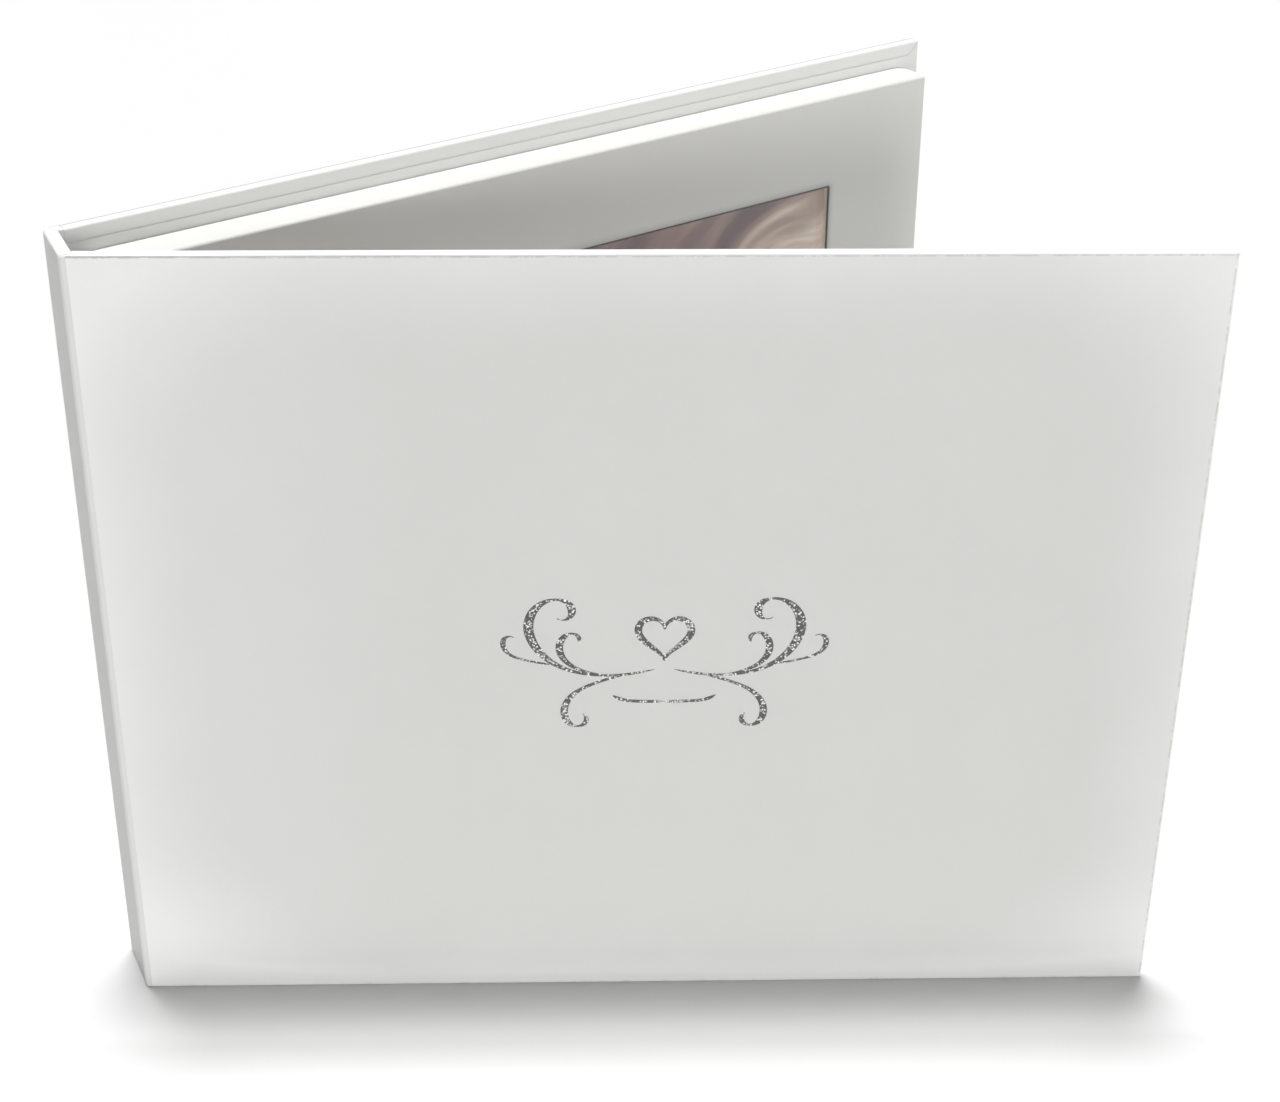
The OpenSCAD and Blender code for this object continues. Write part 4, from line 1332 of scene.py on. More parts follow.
@dataclass
class Case(SubAssembly):
    """The wrapped case: three leaves, the paper over their folds and the paper hinges inside.

    Attributes:
        book: Where the leaves stand.
        width: Width of the covers.
        height: Height of the covers.
        spine_width: Width of the spine.
        paper_t: Thickness of the wrapping paper.
        wrapped_t: Thickness of a wrapped board.
        cover_t: Thickness of a lined board.
        edge_r: Radius of the wrapped edges.
        band: Width of the fold paper on each leaf.
        fold_r: Outer radius of the folds.
        hinge_r: Radius of the paper hinges.
        hinge_x: Ends of the hinges on a cover and on the spine.
        hinge_inset: Distance of the hinges from head and tail.
        board_start: Distance of a cover's board from its fold.
        spine_start: Distance of the spine's board from its folds.
        bend_inset: Distance inside the ends of the fold papers of the two points handed in with them.
        hinge_bend_inset: The same for the paper hinges.
        plug: How far the folded-in paper reaches down into the joints.
        plug_clear: Its distance from the boards.
        plug_lap: How far its end on the spine's side stays outside the cover's wrapping.
        plug_end: Its distance from head and tail.
        plug_skin: Depth of its outer side on the cover.
        plug_lip: Where its outer side starts on the cover.
        plug_foot: Depth of its inner corner by the cover's board.
        plug_spine: Depths of its two corners by the spine's board, the inner one first.
        plug_bend: Places across the cover and depths of the two points handed in with it.
    """

    book: OpenBook
    width: float = 215.0
    height: float = 168.0
    spine_width: float = 14.9
    paper_t: float = 0.2
    wrapped_t: float = 2.65
    cover_t: float = 2.85
    edge_r: float = 0.5
    band: float = 1.2
    fold_r: float = 0.8
    hinge_r: float = 0.7
    hinge_x: tuple[float, float] = (4.0, 3.95)
    hinge_inset: float = 3.0
    board_start: float = 3.25
    spine_start: float = 0.3
    bend_inset: float = 0.15
    hinge_bend_inset: float = 0.1
    plug: float = 8.0
    plug_clear: float = 0.03
    plug_lap: float = 0.05
    plug_end: float = 0.12
    plug_skin: float = 0.24
    plug_lip: float = 0.45
    plug_foot: float = 2.6
    plug_spine: Point = (2.4, 0.3)
    plug_bend: tuple[Point, Point] = ((2.9, 1.4), (2.533, 1.308))

    def middle(self, leaf: LeafPlan, width: float) -> Triple:
        """Returns the middle of a leaf's outer face."""
        return tuple(leaf.at(width / 2, 0.0, self.height / 2))

    def finishes(self) -> None:
        """Chooses the case's papers and board."""
        book, white = self.book, colour("eaeae8")
        wrap = {"roughness": 0.46, "clouding": 0.022, "fibre_scale": 1300.0, "relief": 0.006,
                "scuffing": 0.7, "coat": 0.12}
        self.white_wrap = PaperFinish("laminated_white_paper", "white_wrap", white, **wrap)
        # The spine's paper is the cover paper painted darker on its face as painted shade, with lighter head and
        # tail.
        self.spine_wrap = PaintedLightPaperFinish(
            "laminated_spine_paper_painted_shade", "spine_paper", colour("d3d3d1"), **wrap, lit_margin_tone=colour("f2f2f1"),
            centre=self.middle(book.spine, self.spine_width), turn=book.spine.heading, half_width=0.02,
            half_height=0.0836, corner=0.0003, feather=0.0006, edge_shading=0.0)
        # The front paper carries painted light: lighter margins and corners, a lighter band at the fold and along
        # the tail, and painted shade and highlight lines along its edges.
        self.front_wrap = PaintedLightPaperFinish(
            "laminated_front_paper_painted_light", "white_wrap", colour("e1e1de"), **wrap, lit_margin_tone=colour("fafaf9"),
            centre=self.middle(book.front, self.width), turn=book.front.heading, fold_light=0.25,
            tail_light=0.75)
        # The back paper carries painted shade lines along its edges, a painted highlight along the tail and a
        # painted shade rim along the head.
        self.back_wrap = PaintedLightPaperFinish(
            "laminated_back_paper", "white_wrap", white, **wrap, lit_margin_tone=white,
            centre=self.middle(book.back, self.width), edge_shading=0.12, rim=0.7)
        self.lining = PaperFinish("lining_paper", "lining_paper", white, 0.7, fibre_scale=900.0, relief=0.02)
        self.board = FleckFinish("grey_board", "grey_board", colour("a5a199"), 0.85, dark=colour("6f6a60"),
                                 scale=1400.0, relief=0.05)

    def build(self) -> None:
        """Builds and dresses all pieces of the case."""
        self.finishes()
        self.leaf_papers()
        self.fold_papers()
        self.hinge_papers()
        self.joint_turn_ins()
        self.shop.dress_nodes(self.board, "back_board", "spine_board", "front_board")
        self.shop.dress_nodes(self.lining, "back_lining", "spine_lining", "front_lining")

    def trimmed(self, node: str, name: str, plan: LeafPlan, ends: Sequence[float]) -> Piece:
        """Copies a leaf's wrap without the strips of its outer sheet that the fold papers take over.

        Args:
            node: The wrap's node.
            name: The piece's name.
            plan: The leaf's plan.
            ends: Distances of the leaf's fold lines from its own fold.

        Returns:
            The trimmed and shaded piece.
        """
        piece = merged_copy(node, name)
        slack = 1.0
        through = self.paper_t + 0.002
        for end in ends:
            inwards = 1.0 if end == 0.0 else -1.0
            corners = [plan.at(x, depth, z) for x in (end + inwards * self.band, end - inwards * slack)
                       for depth in (-slack, through) for z in (-slack, self.height + slack)]
            without_box(piece, corners)
        return rounded_light(piece)

    def leaf_papers(self) -> None:
        """Makes the wrapping paper of each leaf."""
        book = self.book
        for leaf, plan, ends, finish, body in (
                ("front", book.front, (0.0,), self.front_wrap, "front_cover"),
                ("back", book.back, (0.0,), self.back_wrap, "back_cover"),
                ("spine", book.spine, (0.0, self.spine_width), self.spine_wrap, "spine")):
            piece = self.trimmed(f"{leaf}_wrap", f"{leaf}_paper", plan, ends)
            self.shop.hand_in(piece, finish, body, f"{leaf}_wrap")

    def sheet_outline(self) -> list[Point]:
        """Draws the upright section of the outer sheet, with its rounded head and tail.

        Returns:
            Depths and heights of the closed outline, in millimetres.
        """
        r = self.edge_r
        steps = 5
        end = math.acos(1 - self.paper_t / r)
        turns = [end * i / steps for i in range(steps + 1)]
        arc = [(r - r * math.cos(turn), r - r * math.sin(turn)) for turn in turns]
        return arc[::-1] + [(depth, self.height - z) for depth, z in arc]

    def spine_from_front(self) -> LeafPlan:
        """Returns the spine's plan counted from its other fold."""
        spine, front = self.book.spine, self.book.front
        return LeafPlan(front.fold, -spine.along, spine.inward)

    def corner_paths(self, depth: float, radius: float, on_cover: float,
                     on_spine: float) -> list[tuple[str, CornerPath, tuple[str, str]]]:
        """Plans the paths round both folds at one depth.

        Args:
            depth: Depth of the paths below the outer faces.
            radius: Radius of their corners.
            on_cover: How far they reach on the covers.
            on_spine: How far they reach on the spine.

        Returns:
            Each fold's name, its path and the two bodies that it joins.
        """
        rear = CornerPath(self.book.back, self.book.spine, depth, radius, (on_cover, on_spine))
        front = CornerPath(self.spine_from_front(), self.book.front, depth, radius, (on_spine, on_cover))
        return [("rear", rear, ("back_cover", "spine")), ("front", front, ("spine", "front_cover"))]

    def bend_ends(self, path: CornerPath, inset: float) -> tuple[Vector, Vector]:
        """Returns two points on a strip's path, a little inside its two ends."""
        return (path.first.at(path.reach[0] - inset, path.depth, 0.0),
                path.second.at(path.reach[1] - inset, path.depth, 0.0))

    def fold_papers(self) -> None:
        """Makes the strips of wrapping paper that bend over the outer corners."""
        for side, path, bodies in self.corner_paths(0.0, self.fold_r, self.band, self.band):
            strip = rounded_light(path.swept(f"{side}_fold_paper", self.sheet_outline()), SOFT_EDGE)
            self.shop.hand_in_bend(strip, self.white_wrap, bodies, self.bend_ends(path, self.bend_inset))

    def hinge_papers(self) -> None:
        """Makes the paper hinges over the inner corners."""
        low, high = self.hinge_inset, self.height - self.hinge_inset
        outline = [(-self.paper_t, low), (-self.paper_t, high), (0.0, high), (0.0, low)]
        for side, path, bodies in self.corner_paths(self.cover_t, self.hinge_r, *self.hinge_x):
            strip = rounded_light(path.swept(f"{side}_hinge_paper", outline, arc_steps=10, flat_steps=4),
                                  SOFT_EDGE)
            self.shop.hand_in_bend(strip, self.lining, bodies, self.bend_ends(path, self.hinge_bend_inset),
                                   f"{side}_hinge_lining")

    def joint_turn_ins(self) -> None:
        """Fills the gap in each joint at head and tail with the folded-in end of the paper."""
        depth = self.wrapped_t + self.plug_clear
        by_board, by_spine = self.board_start - self.plug_clear, self.spine_start - self.plug_clear
        low, high = self.plug_end, self.height - self.plug_end
        for side, cover, spine, bodies in (
                ("rear", self.book.back, self.book.spine, ("back_cover", "spine")),
                ("front", self.book.front, self.spine_from_front(), ("spine", "front_cover"))):
            run = ((self.wrapped_t - depth * spine.inward.dot(cover.inward) - self.plug_lap)
                   / spine.along.dot(cover.inward))
            plan = ((cover, by_board, self.plug_skin), (cover, by_board, self.plug_foot), (spine, run, depth),
                    (spine, by_spine, self.plug_spine[0]), (spine, by_spine, self.plug_spine[1]),
                    (cover, self.plug_lip, self.plug_skin))
            points, faces = [], []
            for bottom, top in ((low, self.plug), (self.height - self.plug, high)):
                faces += closed_rings(len(plan), first=len(points))
                points += [leaf.at(x, d, z) for z in (bottom, top) for leaf, x, d in plan]
            ends = [cover.at(x, d, 0.0) for x, d in self.plug_bend]
            if bodies[0] == "spine":
                ends.reverse()
            piece = new_piece(f"{side}_joint_turn_in", points, faces)
            self.shop.hand_in_bend(piece, self.white_wrap, bodies, (ends[0], ends[1]))


@dataclass
class ScreenBlock(SubAssembly):
    """The shallow box inside the back cover: its paper and its layers of board.

    Attributes:
        edge_bevel: Rounding of the paper at head, tail and upright edges, in millimetres.
        window_bevel: Rounding of the paper at the window and the holes, in millimetres.
        film_lap: Width of the film behind the window's edge, in millimetres.
    """

    edge_bevel: float = 0.65
    window_bevel: float = 0.12
    film_lap: float = 3.5

    def window(self) -> tuple[Vector, float, float]:
        """Finds the window from the film behind it.

        Returns:
            Its middle, and half its width and height in metres.
        """
        low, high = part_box("window_film")
        lap = self.film_lap * MM
        return (low + high) / 2, (high.x - low.x) / 2 - lap, (high.z - low.z) / 2 - lap

    def build(self) -> None:
        """Builds the block's paper and dresses its layers."""
        shop = self.shop
        centre, half_width, half_height = self.window()
        # The block's paper carries a painted shade line and a soft painted shadow round the window.
        skin = WindowPaperFinish("block_paper", "white_wrap", colour("e2e2de"), 0.5, clouding=0.025,
                                 fibre_scale=1300.0, relief=0.008, coat=0.08, centre=tuple(centre),
                                 half_width=half_width, half_height=half_height)
        shop.hand_in(self.softened_wrap(), skin, "back_cover", "block_wrap")
        shop.dress_nodes(FleckFinish("white_lined_board", "grey_board", colour("f7f2e7"), 0.8,
                                     dark=colour("d6cebd"), scale=1500.0, relief=0.03), "face_board")
        shop.dress_nodes(FleckFinish("base_card", "card", colour("d8d3c6"), 0.8, dark=colour("aaa391"),
                                     scale=1200.0, relief=0.03), "base_card")
        shop.dress_nodes(FleckFinish("pocket_foam", "foam", colour("e9e8e4"), 0.9, dark=colour("c4c2bb"),
                                     scale=1100.0, relief=0.12), "block_frame")
        shop.dress_nodes(PlasticFinish("adhesive_sheet", "adhesive", colour("e8dfae"), 0.35,
                                       grain_scale=700.0, relief=0.02, coat=0.3), "block_adhesive")

    def softened_wrap(self) -> Piece:
        """Copies the block's paper and rounds its outer edges, its window and its holes.

        Returns:
            The softened paper.
        """
        piece = merged_copy("block_wrap", "block_paper")
        low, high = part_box("block_wrap")
        work = bmesh.new()
        work.from_mesh(piece.data)
        near, sharp = 0.01 * MM, math.radians(60.0)
        rims, mouths = [], []

        def lies_at(edge: bmesh.types.BMEdge, axis: int, *places: float) -> bool:
            """Tells whether an edge lies at one of several places along an axis."""
            return any(all(abs(v.co[axis] - place) < near for v in edge.verts) for place in places)

        for edge in work.edges:
            if len(edge.link_faces) != 2 or edge.calc_face_angle() < sharp:
                continue
            on_face = lies_at(edge, 1, low.y)
            if lies_at(edge, 2, low.z, high.z) or (on_face and lies_at(edge, 0, low.x, high.x)):
                rims.append(edge)
            elif on_face:
                mouths.append(edge)
        for edges, size, steps in ((mouths, self.window_bevel, 2), (rims, self.edge_bevel, 4)):
            alive = [edge for edge in edges if edge.is_valid]
            bmesh.ops.bevel(work, geom=alive, offset=size * MM, offset_type="OFFSET", segments=steps,
                            profile=0.5, affect="EDGES", clamp_overlap=True)
        work.to_mesh(piece.data)
        work.free()
        return rounded_light(piece, SOFT_EDGE)


@dataclass
class Display(SubAssembly):
    """The lit panel behind the window.

    Attributes:
        block: The block whose window shows the panel.
        reveal: Width of the lit area behind the window's edge, in millimetres.
        brightness: Strength of the lit picture.
    """

    block: ScreenBlock
    reveal: float = 0.8
    brightness: float = 0.9

    def build(self) -> None:
        """Dresses the panel's parts and lights the picture."""
        shop = self.shop
        centre, half_width, half_height = self.block.window()
        picture = ScreenFinish("lit_panel_glass", "display_glass", (0.012, 0.012, 0.014, 1.0), 0.12,
                               centre=tuple(centre), width=2 * (half_width + self.reveal * MM),
                               height=2 * (half_height + self.reveal * MM), strength=self.brightness)
        shop.dress_nodes(picture, "panel_glass")
        shop.dress_nodes(FilmFinish("window_film", "clear_film", (0.9, 0.92, 0.95, 1.0), 0.08), "window_film")
        shop.dress_nodes(MetalFinish("pressed_bezel", "panel_metal", colour("b9bcc0"), 0.36), "panel_bezel")
        shop.dress_nodes(PlasticFinish("backlight_sheets", "backlight_white", colour("f2f4f7"), 0.35,
                                       coat=0.3), "panel_backlight")
        shop.dress_nodes(PlasticFinish("amber_ribbon", "amber_ribbon", colour("c8842c"), 0.3,
                                       grain_scale=1800.0, coat=0.4), "panel_ribbon")


class Symbol(Enum):
    """Outlines of the usual signs on push buttons, in millimetres."""

    MINUS = (((-1.3, -0.28), (1.3, -0.28), (1.3, 0.28), (-1.3, 0.28)),)
    PLUS = (((-1.3, -0.28), (-0.28, -0.28), (-0.28, -1.3), (0.28, -1.3), (0.28, -0.28), (1.3, -0.28),
             (1.3, 0.28), (0.28, 0.28), (0.28, 1.3), (-0.28, 1.3), (-0.28, 0.28), (-1.3, 0.28)),)
    PLAY = (((-0.9, -1.25), (1.35, 0.0), (-0.9, 1.25)),)
    AHEAD = (((-1.5, -1.0), (-0.05, 0.0), (-1.5, 1.0)), ((0.05, -1.0), (1.5, 0.0), (0.05, 1.0)))
    BACK = (((1.5, -1.0), (1.5, 1.0), (0.05, 0.0)), ((-0.05, -1.0), (-0.05, 1.0), (-1.5, 0.0)))


@dataclass
class Controls(SubAssembly):
    """The five push buttons, their switches and their circuit board.

    Attributes:
        symbols: The sign on each button.
        symbol_depth: Depth of the signs' face and foot below the rim of a button, in millimetres.
    """

    symbols: tuple[tuple[str, Symbol], ...] = (
        ("volume_down_button", Symbol.MINUS), ("previous_button", Symbol.BACK), ("play_button", Symbol.PLAY),
        ("next_button", Symbol.AHEAD), ("volume_up_button", Symbol.PLUS))
    symbol_depth: tuple[float, float] = (0.18, 0.36)

    def build(self) -> None:
        """Dresses the buttons and what lies under them."""
        shop = self.shop
        cap = PlasticFinish("button_plastic", "button_plastic", colour("e3e3e1"), 0.42, relief=0.01)
        ink = PlasticFinish("symbol_ink", "button_plastic", colour("5b5c5e"), 0.5)
        for name, symbol in self.symbols:
            shop.smooth_node(name, cap)
            shop.hand_in(self.raised_symbol(name, symbol), ink, name)
        shop.smooth_node("switch_plungers",
                         PlasticFinish("plunger_plastic", "chip_black", colour("2a2a2b"), 0.45))
        shop.dress_nodes(MetalFinish("switch_steel", "plated_steel", colour("c3c6ca"), 0.3), "tact_switches")
        shop.dress_nodes(CircuitFinish("circuit_green", "circuit_green", colour("16592f"), 0.4,
                                       track=colour("3c8f4c")), "button_circuit_board", "main_circuit_board")
        shop.dress_nodes(PlasticFinish("flat_cable", "socket_ivory", colour("dcd8cc"), 0.35, coat=0.2),
                         "button_ribbon")

    def raised_symbol(self, button: str, symbol: Symbol) -> Piece:
        """Makes a button's sign, its foot sunk in the hollow of the cap.

        Args:
            button: The button's node.
            symbol: The sign.

        Returns:
            The sign's piece.
        """
        low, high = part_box(button)
        middle = (low + high) / 2
        points: list[Vector] = []
        faces: list[Sequence[int]] = []
        for outline in symbol.value:
            faces += closed_rings(len(outline), first=len(points))
            points += [Vector((middle.x + x * MM, low.y + depth * MM, middle.z + z * MM))
                       for depth in self.symbol_depth for x, z in outline]
        return new_piece(f"{button}_symbol", points, faces)


class MainBoard(SubAssembly):
    """Parts that stand on the main circuit board, and the magnet that wakes it."""

    def build(self) -> None:
        """Dresses chips, sockets and the magnet."""
        shop = self.shop
        shop.dress_nodes(FleckFinish("chip_moulding", "chip_black", colour("2b2b2d"), 0.6,
                                     dark=colour("1c1c1e"), scale=5000.0, relief=0.01),
                         "video_processor", "memory_chip", "magnet_sensor", "usb_tongue")
        shop.dress_nodes(PlasticFinish("socket_ivory", "socket_ivory", colour("e6dfc9"), 0.4),
                         "ribbon_socket", "battery_socket", "speaker_socket")
        shop.dress_nodes(FleckFinish("ceramic_parts", "component_tan", colour("b08d63"), 0.45,
                                     dark=colour("8d6c45"), scale=4000.0, relief=0.01), "small_components")
        shop.dress_nodes(MetalFinish("plated_steel", "plated_steel", colour("cdd0d3"), 0.28), "usb_socket")
        shop.smooth_node("cover_magnet",
                         MetalFinish("nickel_plating", "magnet_nickel", colour("c9cbd0"), 0.3))


class Power(SubAssembly):
    """The battery and the leads."""

    def build(self) -> None:
        """Dresses the pouch, its tape and all four leads."""
        shop = self.shop
        shop.smooth_node("battery", MetalFinish("pouch_foil", "battery_foil", colour("c2c5ca"), 0.42,
                                                scale=1500.0, streaks=0.2))
        shop.dress_nodes(PlasticFinish("battery_tape", "adhesive", colour("e9e2bd"), 0.4), "battery_tape")
        for part in ("battery", "speaker"):
            for shade, code in (("red", "b3241c"), ("black", "1e1e20")):
                name = f"{shade}_insulation"
                skin = PlasticFinish(name, name, colour(code), 0.4, coat=0.2)
                shop.smooth_node(f"{part}_{shade}_lead", skin, 60.0)


class Speaker(SubAssembly):
    """The small round speaker behind the sound holes."""

    def build(self) -> None:
        """Dresses the basket, the cone and the magnet."""
        shop = self.shop
        shop.smooth_node("speaker_basket",
                         MetalFinish("speaker_steel", "speaker_steel", colour("8f9296"), 0.4))
        shop.smooth_node("speaker_cone", PaperFinish("speaker_paper", "speaker_paper", colour("2a2827"), 0.85,
                                                     clouding=0.3, fibre_scale=1800.0, relief=0.05))
        shop.smooth_node("speaker_magnet",
                         MetalFinish("magnet_nickel", "magnet_nickel", colour("c9cbd0"), 0.3))


@dataclass(frozen=True)
class Stroke:
    """One pen stroke, drawn as a chain of spirals whose bend changes evenly.

    Attributes:
        start: Where the pen is set down, in millimetres.
        heading: Direction in which it sets off, in degrees.
        bends: Length, first curvature and last curvature of each part, per millimetre.
        thick: Half the width of its upright parts.
        thin: Half the width of its level parts.
        swell: Power by which the width grows with the stroke's steepness.
        tapers: Shares of its length over which it thins out at its start and end.
        least: Half its width at its tips.
    """

    start: Point
    heading: float
    bends: tuple[Triple, ...]
    thick: float = 0.8
    thin: float = 0.22
    swell: float = 1.6
    tapers: Point = (0.1, 0.14)
    least: float = 0.09

    def trace(self, step: float = 0.25) -> list[Triple]:
        """Returns points along the stroke with the half width at each.

        Args:
            step: Distance between points in millimetres.

        Returns:
            X, Y and half width, in millimetres.
        """
        x, y = self.start
        angle = math.radians(self.heading)
        total = sum(length for length, _, _ in self.bends)
        done = 0.0
        points = [(x, y, self.width(angle, 0.0))]
        for length, first, last in self.bends:
            count = max(2, round(length / step))
            for i in range(count):
                bend = first + (last - first) * (i + 0.5) / count
                angle += bend * length / count
                x += math.cos(angle) * length / count
                y += math.sin(angle) * length / count
                done += length / count
                points.append((x, y, self.width(angle, done / total)))
        return points

    def width(self, angle: float, share: float) -> float:
        """Finds half the pen's width.

        Args:
            angle: Direction of the stroke, in radians.
            share: Share of the stroke's length that is done.

        Returns:
            Half the width in millimetres.
        """
        full = self.thin + (self.thick - self.thin) * abs(math.sin(angle)) ** self.swell
        taper = min(1.0, share / self.tapers[0], (1.0 - share) / self.tapers[1])
        return max(self.least, full * math.sqrt(max(taper, 0.0)))


class GeometryRecipe:
    """A geometry node tree under construction, with named inputs."""

    def __init__(self, name: str, inputs: dict[str, tuple[str, Any]]) -> None:
        """Starts the tree.

        Args:
            name: The tree's name.
            inputs: Socket type and value of each input by name.
        """
        self.tree = bpy.data.node_groups.new(name, "GeometryNodeTree")
        face = self.tree.interface
        face.new_socket("Geometry", in_out="INPUT", socket_type="NodeSocketGeometry")
        self.identifiers = {}
        self.values = {}
        for label, (kind, value) in inputs.items():
            self.identifiers[label] = face.new_socket(label, in_out="INPUT", socket_type=kind).identifier
            self.values[label] = value
        face.new_socket("Geometry", in_out="OUTPUT", socket_type="NodeSocketGeometry")
        self.graph = Graph(self.tree)
        self.given = self.graph.add("NodeGroupInput").outputs

    def finish(self, geometry: Any) -> None:
        """Ends the tree in real geometry with its material.

        Args:
            geometry: The socket or node that gives the shape.
        """
        real = self.graph.add("GeometryNodeRealizeInstances", {0: geometry})
        dressed = self.graph.add("GeometryNodeSetMaterial", {0: real, "Material": self.given["Material"]})
        self.graph.add("NodeGroupOutput", {0: dressed})

    def run(self, piece: Piece) -> Piece:
        """Runs the tree on a piece and turns the result into plain mesh.

        Args:
            piece: The piece that it starts from.

        Returns:
            The same piece with its new mesh.
        """
        nodes = piece.modifiers.new(self.tree.name, "NODES")
        nodes.node_group = self.tree
        for label, identifier in self.identifiers.items():
            nodes[identifier] = self.values[label]
        return settled(piece)


@dataclass
class Flourish(SubAssembly):
    """A symmetrical foil flourish round a small heart, in the middle of the front cover.

    Attributes:
        book: Where the leaves stand.
        centre: Its middle on the front cover, in millimetres.
        heart_scale: Millimetres per unit of the heart's curve.
        heart_lift: Height of the heart's curve above the middle, in millimetres.
        heart_pen: Half the width of its line at its tips, and how much it grows, in millimetres.
        relief: Height of a stroke as a share of its half width.
        sides: Corners of a stroke's section.
        flakes_per_mm2: Loose flakes on each square millimetre of foil.
        flake_r: Radius of a flake in millimetres.
        flake_t: Thickness of a flake in millimetres.
        flake_sizes: Smallest and largest flake, as multiples of the radius.
        flake_tilt: Most that a flake leans, in radians.
        seed: Seed of the flakes.
        strokes: The strokes of its right half.
    """

    book: OpenBook
    centre: Point = (110.5, 86.0)
    heart_scale: float = 0.33
    heart_lift: float = 1.2
    heart_pen: Point = (0.3, 0.45)
    relief: float = 0.1
    sides: int = 8
    flakes_per_mm2: float = 2.6
    flake_r: float = 0.18
    flake_t: float = 0.03
    flake_sizes: Point = (0.6, 1.5)
    flake_tilt: float = 0.3
    seed: int = 7
    strokes: tuple[Stroke, ...] = (
        Stroke((2.0, -6.6), -16.0, ((12.0, 0.025, 0.035), (17.0, 0.045, 0.1), (11.0, 0.12, 0.2),
                                    (9.0, 0.24, 0.62)), thick=1.0, thin=0.26),
        Stroke((12.0, -7.9), 6.0, ((7.0, 0.05, 0.09), (8.0, 0.14, 0.3), (4.5, 0.4, 0.9)), thick=0.75),
        Stroke((8.0, -7.9), -14.0, ((9.0, -0.01, -0.05), (9.0, -0.09, -0.24), (7.0, -0.3, -0.75)),
               thick=0.75),
        Stroke((22.5, -5.4), 12.0, ((7.0, -0.02, 0.06), (5.0, 0.12, 0.4), (3.0, 0.5, 0.9)), thick=0.55,
               thin=0.2),
        Stroke((0.1, -14.2), 0.0, ((6.0, 0.0, 0.02), (4.5, 0.05, 0.22)), thick=0.6, thin=0.34),
    )

    def heart(self, count: int = 96) -> list[Triple]:
        """Draws the heart by its usual curve.

        Args:
            count: Points on the curve.

        Returns:
            X, Y and half width, in millimetres.
        """
        points = []
        least, growth = self.heart_pen
        for i in range(count):
            t = 2 * math.pi * i / count
            x = 16 * math.sin(t) ** 3
            y = 13 * math.cos(t) - 5 * math.cos(2 * t) - 2 * math.cos(3 * t) - math.cos(4 * t)
            points.append((self.heart_scale * x, self.heart_scale * y + self.heart_lift,
                           least + growth * abs(math.sin(t)) ** 3))
        return points

    def drawing(self) -> Piece:
        """Draws every stroke and its mirror image.

        Returns:
            Chains of edges, with half the width of the line at each point as an attribute.
        """
        points: list[Vector] = []
        edges: list[tuple[int, int]] = []
        widths: list[float] = []

        def chain(trace: list[Triple], side: int, closed: bool) -> None:
            """Adds one trace to the drawing.

            Args:
                trace: X, Y and half width of its points.
                side: 1 to draw it as it is, or -1 to mirror it.
                closed: Whether its end joins its start.
            """
            first = len(points)
            for x, y, width in trace:
                points.append(Vector((side * x, y, 0.0)) * MM)
                widths.append(width * MM)
            edges.extend((i, i + 1) for i in range(first, len(points) - 1))
            if closed:
                edges.append((len(points) - 1, first))

        chain(self.heart(), 1, True)
        for stroke in self.strokes:
            for side in (1, -1):
                chain(stroke.trace(), side, False)
        mesh = bpy.data.meshes.new("flourish_foil")
        mesh.from_pydata([tuple(p) for p in points], edges, [])
        mesh.attributes.new("half_width", "FLOAT", "POINT").data.foreach_set("value", widths)
        return link("flourish_foil", mesh)

    def ribbon(self, material: bpy.types.Material) -> GeometryRecipe:
        """Builds the tree that turns pen lines into low rounded ribbons of foil.

        Args:
            material: The foil.

        Returns:
            The tree.
        """
        recipe = GeometryRecipe("pen_ribbon", {
            "Relief": ("NodeSocketFloat", self.relief), "Sides": ("NodeSocketInt", self.sides),
            "Material": ("NodeSocketMaterial", material)})
        g, given = recipe.graph, recipe.given
        curve = g.add("GeometryNodeMeshToCurve", {0: given["Geometry"]})
        upright = g.add("GeometryNodeSetCurveNormal", {0: curve}, mode="Z_UP")
        ring = g.add("GeometryNodeCurvePrimitiveCircle", {"Resolution": given["Sides"], "Radius": 1.0})
        flat = g.add("GeometryNodeTransform", {0: ring, "Scale": g.join(1.0, given["Relief"], 1.0)})
        width = g.add("GeometryNodeInputNamedAttribute", {"Name": "half_width"}, data_type="FLOAT")
        recipe.finish(g.add("GeometryNodeCurveToMesh", {0: upright, 1: flat, "Scale": width,
                                                        "Fill Caps": True}))
        return recipe

